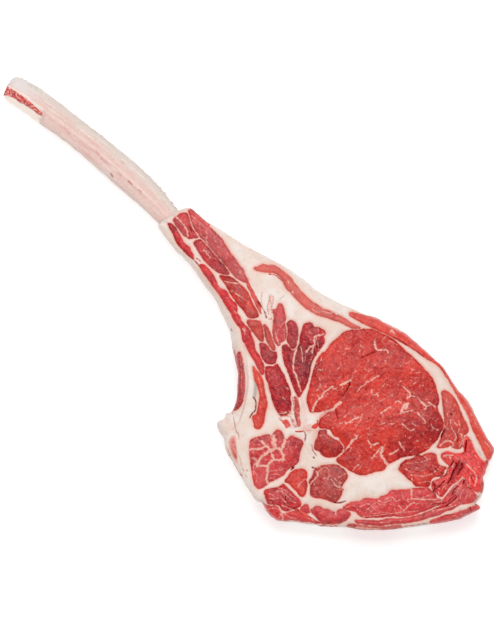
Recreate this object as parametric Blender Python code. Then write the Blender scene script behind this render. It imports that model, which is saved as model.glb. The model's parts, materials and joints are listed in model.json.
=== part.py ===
# Raw tomahawk steak: one thick rib steak lying on its side with the long rib
# bone left on. Metres, Z up, X along the bone from its sawn tip to the meat.
# Each muscle is a solid that runs through the slab, set in one body of fat.
from math import cos, exp, pi, radians, sin, sqrt

import bmesh
import bpy
from mathutils import Vector
from mathutils.geometry import delaunay_2d_cdt

# Driving dimensions of the whole steak
overall_length = 0.450
steak_thickness = 0.0485
neck_thickness = 0.038
bone_height = 0.025
bone_centre_height = 0.0195
part_gap = 0.0003

# The picture frame that the outlines are given in
picture_span = 630.4
picture_scale = overall_length / picture_span
bone_angle = radians(43.3)
picture_centre = (225.07, 316.84)

# Form of the slab's edges and faces
shoulder_radius = 0.0085
neck_shoulder_radius = 0.003
foot_radius = 0.005
neck_start_x, neck_end_x = -0.062, 0.003
swell_height = 0.0008
seam_depth = 0.0005
seam_width = 0.0015
crown_height = 0.0012
crown_reach = 0.007
shallow_depth = 0.0036
edge_rings = (0.0009, 0.0030, 0.0068)
silhouette_step = 0.0075
muscle_step = 0.0062
small_muscle_step = 0.0052
grid_step = 0.0125
sharpest_corner = 0.35
sharp_edge_angle = radians(42)

# Outline of the meat and fat, clockwise from where the bone comes out
meat_outline = (
    (158.5, 224), (163, 233), (175, 248), (190, 262), (205, 282), (218, 301), (230, 326),
    (235, 349), (238, 371), (237.5, 392), (233, 409), (225, 412), (218, 423), (222, 437),
    (227, 452), (236, 468), (248, 486), (264, 506.5), (274, 517), (290, 521.5), (318, 525),
    (343, 528), (368, 530.5), (390, 530), (404, 527), (430, 523), (458, 517), (478, 509),
    (471, 503), (476, 498), (481, 489), (481, 478), (486, 464), (491.5, 455), (491.5, 446),
    (480, 426.5), (470, 407), (459, 392), (449, 376), (434, 359), (421, 348), (403, 332.5),
    (386, 323.5), (364, 314), (340, 303.5), (316, 291), (300, 279), (283, 266.5), (264, 256),
    (244, 244.5), (225, 232), (207, 221), (198, 213.5), (190, 207.5), (180, 209), (169, 216),
)

# Muscles that run through the slab, outlines in the picture frame
through_muscles = {
    "eye_muscle": (
        (345, 332), (357, 329.7), (369, 329.8), (381, 334), (392, 341), (404, 351), (416, 363),
        (427, 375), (434, 387), (437, 401), (439, 415), (441, 426), (438, 437), (430, 447),
        (419, 453.5), (406, 455.8), (396, 460.5), (388, 464), (383, 469), (370, 473.3),
        (359, 474), (349, 469.5), (339.5, 461), (344, 448), (337.5, 439), (327.5, 434),
        (319, 429.5), (319, 420), (325, 413), (313, 410), (308, 400), (310, 385), (316, 363),
        (325, 352), (335, 341),
    ),
    "inner_corner_muscle": (
        (316, 433.5), (322, 436.5), (329, 439), (336, 442.5), (340.5, 448), (338.5, 453),
        (332, 456.3), (324, 455.8), (317.5, 452), (314, 446), (314.5, 438.5),
    ),
    "upper_strip_muscle": (
        (254, 269), (263, 265.3), (273, 266.2), (282, 270.3), (290, 277.5), (297, 286.5),
        (304, 295), (314, 303.5), (325, 309.5), (337, 315), (348, 321), (355, 326.3),
        (343, 323.8), (330, 317.5), (318, 314.3), (307, 308.5), (297, 299), (288.5, 288.5),
        (280, 279.3), (271, 273.3), (262, 270.5),
    ),
    "outer_strip_muscle": (
        (351, 313), (362, 311), (378, 315), (396, 324), (412, 335), (428, 349), (444, 362),
        (458, 381), (472, 402), (484, 425), (496, 444), (496, 456), (488, 461), (483, 452.5),
        (476.5, 438.5), (469.5, 424.5), (462, 409.5), (453.5, 394), (446.5, 380), (440, 369),
        (431, 360.5), (419, 352.3), (406, 344.3), (394, 338), (383, 332), (371, 326.2),
        (359, 320.8), (351, 316),
    ),
    "cap_muscle": (
        (443.5, 391.5), (449, 393), (454.5, 400.5), (459, 411), (463.5, 421.5), (465.5, 431),
        (463, 440), (458, 446), (448, 445.3), (438, 445.5), (442, 438), (446, 429.5),
        (446, 420), (443.8, 408),
    ),
    "lower_centre_muscle": (
        (400, 464), (407, 459.8), (416, 457.8), (425, 455.8), (433, 455.2), (437, 460),
        (443.5, 468.5), (441, 474), (433, 477.8), (429, 483), (424.5, 486), (416, 485.8),
        (409, 481.5), (404, 475.5), (400, 470.5),
    ),
    "lower_right_muscle": (
        (442.5, 457.5), (447, 453.5), (455, 454), (463, 455.5), (466, 449), (467.5, 441.5),
        (471.5, 444), (476.5, 454), (483, 461), (492, 464), (489, 478), (486, 491), (478, 493),
        (470, 489), (463.5, 481.8), (457, 478.5), (451, 482.5), (445, 489.5), (439.5, 494.5),
        (435, 491), (435, 485), (444, 480), (449, 474.5), (450, 467), (445, 462),
    ),
    "bottom_long_muscle": (
        (347, 507), (354, 503.3), (363, 501), (372, 499.5), (381, 497.5), (390, 492.7),
        (400, 490.3), (411, 489.3), (423, 490.3), (431, 491.5), (436, 497), (437, 501.5),
        (428, 505), (417, 508.8), (406, 512), (396, 515.3), (384, 517), (372, 516.8),
        (363, 515.7), (357.5, 511.2),
    ),
    "bottom_layer_muscle": (
        (367, 520.3), (380, 520.9), (392, 520.2), (403, 517.8), (417, 513.8), (430, 509.6),
        (441, 506), (446.5, 499), (452, 491), (458.5, 485), (465, 489.5), (472, 496.5),
        (467, 500.5), (460, 503.8), (451, 509), (440, 513.2), (427, 516.3), (414, 519.8),
        (402, 523), (388, 523.7), (375, 523.2),
    ),
    "edge_strip_muscle": (
        (431, 521.2), (441, 518), (452, 515), (462, 511.7), (472, 508.5), (482, 505),
        (484, 511), (472, 516), (458, 521), (444, 524), (433, 526),
    ),
    "bottom_short_muscle": (
        (313.5, 510.5), (319, 507.8), (326, 509.3), (333, 511.8), (340, 510.8), (345.5, 510.6),
        (350, 514), (346, 518.5), (338, 521.8), (328, 522.7), (319, 521.3), (317, 516),
    ),
    "bottom_small_muscle": (
        (301, 509.5), (305, 506.5), (309, 509.3), (310.3, 513.7), (305, 513.8),
    ),
    "edge_layer_muscle": (
        (351, 525.7), (361, 525), (373, 526.6), (387, 527), (398, 526.5), (401, 532),
        (384, 535), (362, 535), (350, 532),
    ),
    "dark_round_muscle": (
        (310.5, 487), (313, 478), (317.5, 470.5), (326, 466.3), (336, 466), (343, 470),
        (346.3, 477.5), (343.5, 486), (341.5, 494.5), (336.5, 500), (328, 498.3), (318.5, 495.3),
        (311, 492.7),
    ),
    "small_round_muscle": (
        (286.8, 481), (290, 474.7), (296, 471), (302.5, 471.3), (307, 477.5), (307.2, 485),
        (304, 493.5), (299, 493), (292, 487),
    ),
    "lower_left_muscle": (
        (265.5, 493.5), (273, 489), (281.5, 486), (287, 489), (293, 494.7), (299, 502),
        (297, 507), (288, 508.2), (279, 505.5), (271, 504), (267.5, 499),
    ),
    "corner_strip_muscle": (
        (268.5, 508.5), (276, 509.3), (283, 512.3), (292, 514.5), (301, 516.7), (311, 520.7),
        (310, 527), (296, 527), (280, 526), (268, 518), (263, 510),
    ),
    "marbled_muscle": (
        (251, 440.5), (258.5, 435.8), (267, 434.6), (273.5, 434), (279, 431), (284, 438),
        (290, 437.2), (297.5, 438.7), (302, 445), (299.7, 455), (296.5, 463.5), (289, 469.7),
        (280, 475.5), (271, 481), (263, 486.5), (257.5, 486), (254.5, 478), (252, 467),
        (250, 456), (249.5, 447),
    ),
    "rib_side_muscle": (
        (263, 366), (268.5, 367.5), (275, 364), (279.5, 370), (284.5, 380), (289, 391),
        (291.3, 403), (289.5, 412.5), (283, 414), (277.5, 408), (272.5, 397), (268, 384),
        (265, 374.5),
    ),
    "inner_long_muscle": (
        (253.5, 368.5), (258, 374), (262, 383), (265, 394), (266.3, 405), (264, 416.5),
        (261, 427), (256.5, 426.5), (253.7, 419), (256, 409), (258.5, 398.5), (257.5, 386),
        (254.7, 376),
    ),
    "inner_short_muscle": (
        (260.5, 346), (266.5, 346), (273, 352), (276, 358.5), (270.5, 362.5), (264, 361),
        (260.5, 354.5),
    ),
    "inner_thin_muscle": (
        (263.7, 326.5), (267, 327.5), (270.3, 335), (271.7, 344.5), (268.8, 344.3),
        (266.3, 339.5),
    ),
    "inner_small_muscle": (
        (250, 321), (256.5, 321.7), (261.5, 329), (265, 337.5), (262, 339.7), (255.5, 334.5),
        (250.5, 328),
    ),
    "upper_rib_muscle": (
        (222.5, 278), (231, 278), (240, 284.3), (248, 294), (252.7, 305), (256.5, 315),
        (250, 317.6), (243, 311.5), (235, 300.5), (227.5, 288.5),
    ),
    "long_rib_muscle": (
        (199, 265.5), (204, 268.5), (210, 275), (216, 284), (224.5, 291.5), (232, 302),
        (239.5, 315.5), (247.5, 330), (254, 344.5), (260, 360.5), (261, 369.3), (252.5, 357),
        (244, 340.5), (236, 324), (228, 310), (219, 295.5), (208.5, 280.5),
    ),
    "side_strip_muscle": (
        (237, 352), (240.5, 354.5), (243.5, 366), (244.3, 381), (242.5, 396.5), (239, 406),
        (233, 407.5), (233, 392), (233, 372),
    ),
    "fan_left_muscle": (
        (278.7, 305.5), (283.5, 310.5), (286.3, 320), (287.2, 330), (285, 339), (280, 344),
        (275, 339.5), (273.3, 328), (275, 317), (274.8, 310),
    ),
    "fan_centre_muscle": (
        (290.3, 322.5), (294.5, 323.2), (298, 330), (297.5, 340), (293.8, 349.5), (289.7, 345),
        (290.8, 334),
    ),
    "fan_muscle": (
        (303.3, 329.5), (307.5, 324), (314, 325.3), (321.5, 330.3), (323.3, 335.5),
        (320.5, 344.5), (315, 353), (310.7, 363.5), (307.5, 376.5), (304, 388.5), (299.5, 396),
        (295, 386.5), (289.3, 369), (284.5, 355.5), (284.5, 349), (290.5, 353.5), (296, 355),
        (300.5, 346.5), (301.5, 337.5),
    ),
}

# Thin muscles over the buried rib, which go down only as far as the bone
shallow_muscles = {
    "neck_left_muscle": (
        (168.5, 224.5), (174, 228), (180.5, 237), (185, 245), (188.5, 251.5), (182, 247.5),
        (175.5, 239), (171, 231),
    ),
    "neck_centre_muscle": (
        (176, 220), (182, 216.8), (186.5, 217), (190, 224.5), (195, 234.5), (190.5, 236),
        (184, 233), (179.5, 227),
    ),
    "neck_outer_muscle": (
        (190.5, 212), (196, 214.7), (205, 223), (214.5, 232.3), (223.5, 244.5), (231, 256),
        (239, 265.5), (246, 275.5), (247, 282.5), (240, 279.3), (231, 271.5), (221, 261),
        (211, 250), (202, 237.5), (195, 225),
    ),
    "neck_inner_muscle": (
        (195.5, 244), (200, 241.8), (205.5, 248), (213, 258), (222, 268.3), (226.5, 273),
        (218.5, 270.7), (209, 263), (200.5, 252.5),
    ),
}

# Open clefts between muscles that show dark, cut into the upper face
clefts = (
    ((253.5, 384), (254.3, 396), (256, 405), (254, 413), (250.5, 418.5)),
    ((258.5, 299.5), (262, 307), (265.5, 317)),
    ((454.5, 461.5), (458.5, 467.5), (456.5, 474)),
)
cleft_depth = 0.0030
cleft_width = 0.0011

# Rib bone: centre, seen width and station, from the sawn tip inwards
bone_path = (
    (10.6, 87.6, 26.0), (28.4, 97.8, 28.3), (58.0, 118.8, 27.0), (87.6, 141.9, 25.4),
    (118.6, 166.4, 27.0), (149.1, 194.2, 25.4), (169.3, 215.6, 21.5), (182.0, 228.5, 18.5),
    (198.0, 243.5, 15.5), (204.5, 250.0, 13.0),
)
bone_section_power = 2.5
bone_sides = 22
bone_rings = 30
bone_tip_round = 0.0055
marrow_half_width = 0.0050
marrow_half_height = 0.0092
marrow_shift = 0.0016
marrow_length = 0.046
marrow_sides = 14
marrow_rings = 14
tip_cut_direction = (0.88, 0.475)
tip_cut_start, tip_cut_end = 0.0047, 0.0068
tip_cut_length = 0.032
tip_cut_runout = 0.0065

fat_colour = (0.84, 0.77, 0.69)
bone_colour = (0.80, 0.70, 0.62)
marrow_colour = (0.55, 0.10, 0.08)
lean_colour = (0.48, 0.045, 0.035)
bright_lean_colour = (0.58, 0.055, 0.040)
dark_lean_colour = (0.31, 0.022, 0.030)
lean_roughness, fat_roughness, bone_roughness, marrow_roughness = 0.42, 0.50, 0.45, 0.60
bright_muscles = {
    "upper_strip_muscle", "outer_strip_muscle", "lower_right_muscle", "small_round_muscle",
    "corner_strip_muscle", "edge_strip_muscle", "inner_long_muscle", "neck_outer_muscle",
}
dark_muscles = {
    "inner_corner_muscle", "dark_round_muscle", "rib_side_muscle", "fan_muscle",
    "fan_left_muscle", "fan_centre_muscle", "neck_left_muscle", "neck_centre_muscle",
    "neck_inner_muscle", "upper_rib_muscle", "long_rib_muscle", "side_strip_muscle",
}


def place(px, py):
    """Part position of a point given in the picture frame."""
    right = (px - picture_centre[0]) * picture_scale
    up = (picture_centre[1] - py) * picture_scale
    return Vector((right * cos(bone_angle) - up * sin(bone_angle),
                   right * sin(bone_angle) + up * cos(bone_angle)))


def curve_point(a, b, c, d, t):
    """Point between b and c on a smooth curve through a, b, c and d."""
    return 0.5 * ((2 * b) + (c - a) * t + (2 * a - 5 * b + 4 * c - d) * t * t
                  + (3 * b - a - 3 * c + d) * t * t * t)


def smooth_loop(points, step):
    """Closed smooth curve through the points, with corners about a step apart."""
    knots = [place(*p) for p in points]
    n = len(knots)
    fine = []
    for i in range(n):
        a, b, c, d = (knots[(i + k) % n] for k in (-1, 0, 1, 2))
        fine += [curve_point(a, b, c, d, k / 8) for k in range(8)]
    lengths = [(fine[(i + 1) % len(fine)] - fine[i]).length for i in range(len(fine))]
    total = sum(lengths)
    count = max(8, round(total / step))
    loop, walked, target = [], 0.0, 0.0
    for i, length in enumerate(lengths):
        while target < walked + length and len(loop) < count:
            loop.append(fine[i].lerp(fine[(i + 1) % len(fine)], (target - walked) / length))
            target += total / count
        walked += length
    return loop if signed_area(loop) > 0 else loop[::-1]


def signed_area(loop):
    return 0.5 * sum(a.x * b.y - b.x * a.y for a, b in zip(loop, loop[1:] + loop[:1]))


def offset_loop(loop, distance):
    """The loop moved outwards by a distance; inwards where it is negative."""
    moved = []
    for before, point, after in zip(loop[-1:] + loop[:-1], loop, loop[1:] + loop[:1]):
        into, out = (point - before).normalized(), (after - point).normalized()
        outward = Vector((into.y + out.y, -into.x - out.x)).normalized()
        share = max(sharpest_corner, outward.dot(Vector((out.y, -out.x))))
        moved.append(point + outward * distance / share)
    return moved


def inside(point, loop):
    hit = False
    for a, b in zip(loop, loop[1:] + loop[:1]):
        if (a.y > point.y) != (b.y > point.y):
            if point.x < a.x + (point.y - a.y) * (b.x - a.x) / (b.y - a.y):
                hit = not hit
    return hit


def distance_to_path(point, path, closed=True):
    ends = path[1:] + path[:1] if closed else path[1:]
    best = 1.0
    for a, b in zip(path, ends):
        along = b - a
        t = max(0.0, min(1.0, (point - a).dot(along) / max(along.length_squared, 1e-18)))
        best = min(best, (point - a - along * t).length)
    return best


def blend(value, low, high):
    t = max(0.0, min(1.0, (value - low) / (high - low)))
    return t * t * (3 - 2 * t)


silhouette = smooth_loop(meat_outline, silhouette_step)
cleft_paths = [[place(*p) for p in path] for path in clefts]


def neck_share(point):
    """1 at the narrow end where the bone comes out, 0 in the broad part."""
    return 1.0 - blend(point.x, neck_start_x, neck_end_x)


def top_height(point):
    """Height of the upper face, with its soft swell, shoulder and clefts."""
    share = neck_share(point)
    height = steak_thickness + (neck_thickness - steak_thickness) * share
    height += swell_height * (sin(point.x * 61 + 1.3) * cos(point.y * 74 - 0.4)
                              + 0.6 * sin(point.x * 118 - point.y * 97))
    radius = shoulder_radius + (neck_shoulder_radius - shoulder_radius) * share
    reach = min(distance_to_path(point, silhouette), radius)
    height -= radius - sqrt(max(0.0, radius * radius - (radius - reach) ** 2))
    for path in cleft_paths:
        away = distance_to_path(point, path, False) / cleft_width
        height -= cleft_depth * exp(-away * away)
    return height


def bottom_height(point):
    """Height of the underside: flat, and rounded up at the outer edge."""
    reach = min(distance_to_path(point, silhouette), foot_radius)
    return foot_radius - sqrt(max(0.0, foot_radius ** 2 - (foot_radius - reach) ** 2))


def grid_points(loop, step):
    """Points of a triangular grid that lie in the loop, clear of its edge."""
    xs, ys = [p.x for p in loop], [p.y for p in loop]
    points, row, y = [], 0, min(ys)
    while y < max(ys):
        x = min(xs) + (step / 2 if row % 2 else 0)
        while x < max(xs):
            point = Vector((x, y))
            if inside(point, loop) and distance_to_path(point, loop) > step * 0.55:
                points.append(point)
            x += step
        y += step * 0.866
        row += 1
    return points


def triangulate(loops, extra):
    """Triangles of the plane that keep every edge of the loops."""
    points, edges = [], []
    for loop in loops:
        first = len(points)
        points += loop
        edges += [(first + i, first + (i + 1) % len(loop)) for i in range(len(loop))]
    points += extra
    result = delaunay_2d_cdt(points, edges, [], 0, 1e-7)
    return [Vector(p) for p in result[0]], [tuple(f) for f in result[2]]


def add_solid(name, points, levels, underside, colour, roughness):
    """Closed solid from triangles; levels gives each triangle's upper face.

    levels is a list of (triangle, height function of a corner) pairs. Where two
    neighbours have different upper faces, a wall joins them, and an edge with no
    neighbour gets a wall down to the underside.
    """
    bm = bmesh.new()
    made = {}

    def corner(index, height):
        if (index, height) not in made:
            p = points[index]
            made[index, height] = bm.verts.new((p.x, p.y, height(p)))
        return made[index, height]

    owners = {}
    for tri, upper in levels:
        bm.faces.new([corner(i, upper) for i in tri])
        bm.faces.new([corner(i, underside) for i in reversed(tri)])
        for k in range(3):
            owners[tri[k], tri[(k + 1) % 3]] = upper
    for (a, b), upper in owners.items():
        other = owners.get((b, a), underside)
        if other is upper or (other is not underside and a > b):
            continue
        bm.faces.new([corner(b, upper), corner(a, upper), corner(a, other), corner(b, other)])
    bmesh.ops.triangulate(bm, faces=bm.faces[:])
    bmesh.ops.recalc_face_normals(bm, faces=bm.faces[:])
    return add_object(name, bm, colour, roughness)


def add_object(name, bm, colour, roughness):
    mesh = bpy.data.meshes.new(name)
    for face in bm.faces:
        face.smooth = True
    for edge in bm.edges:
        edge.smooth = edge.calc_face_angle(0.0) < sharp_edge_angle
    bm.to_mesh(mesh)
    bm.free()
    body = bpy.data.objects.new(name, mesh)
    bpy.context.scene.collection.objects.link(body)
    material = bpy.data.materials.new(name)
    material.use_nodes = True
    shader = material.node_tree.nodes["Principled BSDF"]
    shader.inputs["Base Color"].default_value = (*colour, 1.0)
    shader.inputs["Roughness"].default_value = roughness
    shader.inputs["Metallic"].default_value = 0.0
    mesh.materials.append(material)
    return body


def ring_points(loop, depths):
    """Points at given depths inside a loop, for its rounded or chamfered edge."""
    points = []
    for depth in depths:
        stride = 1 if depth < muscle_step / 3 else 2
        for point in offset_loop(loop, -depth)[::stride]:
            if inside(point, loop) and distance_to_path(point, loop) > depth * 0.8:
                points.append(point)
    return points


def shoulder_points():
    """Points just inside the meat's outline that carry its rounded edge."""
    return ring_points(silhouette, edge_rings)


def cleft_points():
    """Points along each cleft's bed and banks."""
    points = []
    for path in cleft_paths:
        for a, b in zip(path, path[1:]):
            bank = Vector((a.y - b.y, b.x - a.x)).normalized() * cleft_width * 1.6
            for bed in (a, a.lerp(b, 0.5)):
                points += [bed, bed + bank, bed - bank]
    return points


def lean_solid(name, loop, underside):
    """One muscle: slightly crowned above the fat, with a low edge at its seam."""
    def crowned(point):
        reach = distance_to_path(point, loop)
        rise = crown_height * (1 - exp(-reach / crown_reach))
        return top_height(point) + rise - seam_depth * exp(-reach / seam_width)

    near = [p for p in shoulder_points() + cleft_points()
            if inside(p, loop) and distance_to_path(p, loop) > part_gap * 3]
    extra = near + grid_points(loop, grid_step) + ring_points(loop, (seam_width,))
    points, tris = triangulate([loop, silhouette], extra)
    kept = []
    for tri in tris:
        middle = (points[tri[0]] + points[tri[1]] + points[tri[2]]) / 3
        if inside(middle, loop) and inside(middle, silhouette):
            kept.append((tri, crowned))
    add_solid(name, points, kept, underside, lean_tone(name), lean_roughness)


def lean_tone(name):
    if name in bright_muscles:
        return bright_lean_colour
    return dark_lean_colour if name in dark_muscles else lean_colour


def pocket_floor(point):
    return top_height(point) - shallow_depth


def shallow_underside(point):
    return pocket_floor(point) + part_gap


def fat_solid(through, shallow):
    """The fat: the whole slab less every muscle's own room."""
    def seamed(point):
        reach = min(distance_to_path(point, loop) for loop in rooms)
        return top_height(point) - seam_depth * exp(-reach / seam_width)

    through = [offset_loop(loop, part_gap) for loop in through]
    shallow = [offset_loop(loop, part_gap) for loop in shallow]
    rooms = through + shallow
    free = [p for p in shoulder_points() + cleft_points() + grid_points(silhouette, grid_step)
            if not any(inside(p, loop) or distance_to_path(p, loop) < part_gap * 3
                       for loop in rooms)]
    points, tris = triangulate([silhouette] + rooms, free)
    kept = []
    for tri in tris:
        middle = (points[tri[0]] + points[tri[1]] + points[tri[2]]) / 3
        if not inside(middle, silhouette) or any(inside(middle, loop) for loop in through):
            continue
        over = any(inside(middle, loop) for loop in shallow)
        kept.append((tri, pocket_floor if over else seamed))
    return add_solid("fat", points, kept, bottom_height, fat_colour, fat_roughness)


def bone_frame(share):
    """Centre, lengthwise and sideways direction and half width along the rib."""
    span = len(bone_path) - 1
    at = min(share * span, span - 1e-6)
    i, t = int(at), at - int(at)
    knots = [bone_path[max(0, min(span, i + k))] for k in (-1, 0, 1, 2)]
    centres = [place(k[0], k[1]) for k in knots]
    centre = curve_point(*centres, t)
    ahead = (curve_point(*centres, t + 0.01) - curve_point(*centres, t - 0.01)).normalized()
    width = curve_point(*[k[2] for k in knots], t) * picture_scale
    return centre, ahead, Vector((ahead.y, -ahead.x)), width / 2


def bone_shares(count, last_length=None):
    """Evenly spaced places along the rib, as shares of its path, with lengths."""
    fine = [(k / 600, bone_frame(k / 600)[0]) for k in range(601)]
    walked, lengths = 0.0, [0.0]
    for (_, a), (_, b) in zip(fine, fine[1:]):
        walked += (b - a).length
        lengths.append(walked)
    total = last_length or walked
    places = []
    for k in range(count):
        target = total * k / (count - 1)
        index = min(range(len(lengths)), key=lambda j: abs(lengths[j] - target))
        places.append((fine[index][0], target))
    return places, total


def cut_depth(along):
    """How far the slanting saw cut lies from the bone's centre line."""
    depth = tip_cut_start + (tip_cut_end - tip_cut_start) * along / tip_cut_length
    past = max(0.0, along - tip_cut_length)
    return depth + 0.012 * (past / tip_cut_runout) ** 2


def section(half_width, half_height, sides, limit, shift=0.0):
    """Rounded section of the rib, cut off where the saw cut crosses it."""
    points = []
    for k in range(sides):
        angle = 2 * pi * k / sides
        c, s = cos(angle), sin(angle)
        side = half_width * abs(c) ** (2 / bone_section_power) * (1 if c > 0 else -1)
        up = half_height * abs(s) ** (2 / bone_section_power) * (1 if s > 0 else -1)
        reach = (side + shift) * tip_cut_direction[0] + up * tip_cut_direction[1]
        if reach > limit:
            over = reach - limit
            side -= over * tip_cut_direction[0]
            up -= over * tip_cut_direction[1]
        points.append((side + shift, up))
    return points


def loft(rings):
    """Closed body through rings of world points, with flat fans at both ends."""
    bm = bmesh.new()
    made = [[bm.verts.new(p) for p in ring] for ring in rings]
    n = len(rings[0])
    for low, high in zip(made, made[1:]):
        for k in range(n):
            bm.faces.new([low[k], low[(k + 1) % n], high[(k + 1) % n], high[k]])
    bm.faces.new(made[0][::-1])
    bm.faces.new(made[-1])
    bmesh.ops.triangulate(bm, faces=bm.faces[:])
    bmesh.ops.recalc_face_normals(bm, faces=bm.faces[:])
    return bm


def tip_round(along, length):
    """Share of the full section near the rib's blunt tip and its hidden end."""
    near = min(along, length - along)
    if near >= bone_tip_round:
        return 1.0
    t = 1 - near / bone_tip_round
    return 0.62 + 0.38 * sqrt(max(0.0, 1 - t * t))


def world_ring(share, points):
    centre, _, side_way, _ = bone_frame(share)
    return [Vector((centre.x + side_way.x * s, centre.y + side_way.y * s,
                    bone_centre_height + u)) for s, u in points]


def rib_loft(margin, cut):
    """The rib grown by a margin; cut is False for the room it needs in the fat."""
    places, total = bone_shares(bone_rings)
    round_places = (0.0008, 0.0020, 0.0038)
    fine, _ = bone_shares(601)
    near = [min(fine, key=lambda q: abs(q[1] - d)) for d in round_places]
    far = [min(fine, key=lambda q: abs(q[1] - (total - d))) for d in reversed(round_places)]
    rings = []
    for share, along in places[:1] + near + places[1:-1] + far + places[-1:]:
        half_width = bone_frame(share)[3]
        scale = tip_round(along, total)
        limit = cut_depth(along) if cut else 1.0
        points = section(half_width * scale + margin, bone_height / 2 * scale + margin,
                         bone_sides, limit)
        rings.append(world_ring(share, points))
    if margin:
        ahead = bone_frame(places[-1][0])[1]
        rings[-1] = [p + Vector((ahead.x, ahead.y, 0)) * margin for p in rings[-1]]
    return loft(rings)


def core_loft(margin, cut):
    """The marrow, or the larger room cut for it in the bone."""
    places, _ = bone_shares(marrow_rings, marrow_length)
    rings = []
    for index, (share, along) in enumerate(places):
        taper = 1.0 if index < marrow_rings - 2 else (0.85, 0.55)[index - marrow_rings + 2]
        limit = cut_depth(along) - part_gap * 2 if cut else 1.0
        points = section(marrow_half_width * taper + margin,
                         marrow_half_height * taper + margin, marrow_sides, limit, marrow_shift)
        rings.append(world_ring(share, points))
    ahead = bone_frame(0.0)[1]
    back = Vector((ahead.x, ahead.y, 0)) * (0.004 if not cut else -0.0004)
    rings[0] = [p - back for p in rings[0]]
    if margin:
        ahead = bone_frame(places[-1][0])[1]
        rings[-1] = [p + Vector((ahead.x, ahead.y, 0)) * margin for p in rings[-1]]
    return loft(rings)


def cut_away(body, cutter):
    """Take the cutter's room out of a body."""
    cutter.hide_render = True
    cutter.display_type = "WIRE"
    modifier = body.modifiers.new("room", "BOOLEAN")
    modifier.operation = "DIFFERENCE"
    modifier.solver = "EXACT"
    modifier.object = cutter


def build():
    for item in list(bpy.context.scene.objects):
        bpy.data.objects.remove(item, do_unlink=True)
    through = {name: smooth_loop(points, step_for(points))
               for name, points in through_muscles.items()}
    shallow = {name: smooth_loop(points, small_muscle_step)
               for name, points in shallow_muscles.items()}
    for name, loop in through.items():
        lean_solid(name, loop, bottom_height)
    for name, loop in shallow.items():
        lean_solid(name, loop, shallow_underside)
    fat = fat_solid(list(through.values()), list(shallow.values()))
    bone = add_object("rib_bone", rib_loft(0.0, True), bone_colour, bone_roughness)
    add_object("marrow", core_loft(0.0, True), marrow_colour, marrow_roughness)
    bone_room = add_object("bone_room", rib_loft(part_gap, False), fat_colour, fat_roughness)
    marrow_room = add_object("marrow_room", core_loft(part_gap, False), bone_colour,
                             bone_roughness)
    cut_away(fat, bone_room)
    cut_away(bone, marrow_room)


def step_for(points):
    """Finer corners on the smaller muscles."""
    return muscle_step if len(points) > 16 else small_muscle_step


build()
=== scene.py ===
# Raw tomahawk steak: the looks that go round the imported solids. Metres, Z up.
import itertools
import json
import math

import bpy
import numpy as np
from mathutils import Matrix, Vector
from mathutils.geometry import delaunay_2d_cdt

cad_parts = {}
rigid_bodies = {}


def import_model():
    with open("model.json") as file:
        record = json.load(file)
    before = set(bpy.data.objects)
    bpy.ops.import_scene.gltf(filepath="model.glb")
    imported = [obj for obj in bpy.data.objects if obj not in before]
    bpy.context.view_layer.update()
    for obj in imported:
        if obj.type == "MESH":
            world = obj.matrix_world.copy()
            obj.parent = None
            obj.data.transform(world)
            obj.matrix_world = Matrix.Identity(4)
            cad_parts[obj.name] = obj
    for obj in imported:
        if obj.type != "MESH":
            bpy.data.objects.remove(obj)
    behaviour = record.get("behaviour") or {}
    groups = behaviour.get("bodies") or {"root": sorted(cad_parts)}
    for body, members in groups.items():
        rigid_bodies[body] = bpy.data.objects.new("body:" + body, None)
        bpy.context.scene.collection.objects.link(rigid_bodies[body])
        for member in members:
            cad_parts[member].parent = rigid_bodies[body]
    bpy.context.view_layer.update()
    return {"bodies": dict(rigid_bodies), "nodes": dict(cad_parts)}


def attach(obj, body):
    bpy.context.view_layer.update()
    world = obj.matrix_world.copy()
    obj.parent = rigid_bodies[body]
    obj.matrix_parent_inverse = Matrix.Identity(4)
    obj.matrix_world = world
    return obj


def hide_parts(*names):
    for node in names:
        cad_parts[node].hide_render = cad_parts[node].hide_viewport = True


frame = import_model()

keptObjects = set(frame["nodes"].values()) | set(frame["bodies"].values())
for item in list(bpy.data.objects):
    if item not in keptObjects:
        bpy.data.objects.remove(item, do_unlink=True)
print("frame loaded:", len(frame["nodes"]), "solids")

# The flat drawing that every outline is given in; one unit of it is 0.714 mm
drawing = {
    "steakLength": 0.450,       # metres, sawn tip of the rib to the far corner
    "span": 630.4,              # the same length in drawing units
    "centre": (225.07, 316.84),
    "turn": math.radians(43.3),  # how far the drawing is turned from the part
}
unit = drawing["steakLength"] / drawing["span"]
turnCos, turnSin = math.cos(drawing["turn"]), math.sin(drawing["turn"])


def toPart(spots):
    # places in the drawing, as X and Y of the part; given as pairs, or as x, y, x, y
    spots = np.reshape(spots, (-1, 2)).astype(float)
    right = (spots[:, 0] - drawing["centre"][0]) * unit
    up = (drawing["centre"][1] - spots[:, 1]) * unit
    return np.column_stack((right * turnCos - up * turnSin, right * turnSin + up * turnCos))


noiseCells = 48
noiseTable = np.random.default_rng(7).uniform(-1, 1, (noiseCells,) * 3)
farAway = 1000.0                # stands for any distance that is too great to matter


def softNoise(spots, cell, shift=0.0):
    # smooth random values from -1 to 1 at 2-D or 3-D places, cell is the size of a lump
    spots = np.asarray(spots, float)
    if spots.shape[1] == 2:
        spots = np.column_stack((spots, np.zeros(len(spots))))
    at = spots / cell + shift + 0.37
    low = np.floor(at).astype(int)
    part = at - low
    part = part * part * (3 - 2 * part)
    total = np.zeros(len(spots))
    for corner in itertools.product((0, 1), repeat=3):
        weight = np.prod(np.where(np.array(corner) == 1, part, 1 - part), axis=1)
        cells = (low + corner) % noiseCells
        total += weight * noiseTable[cells[:, 0], cells[:, 1], cells[:, 2]]
    return total


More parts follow.
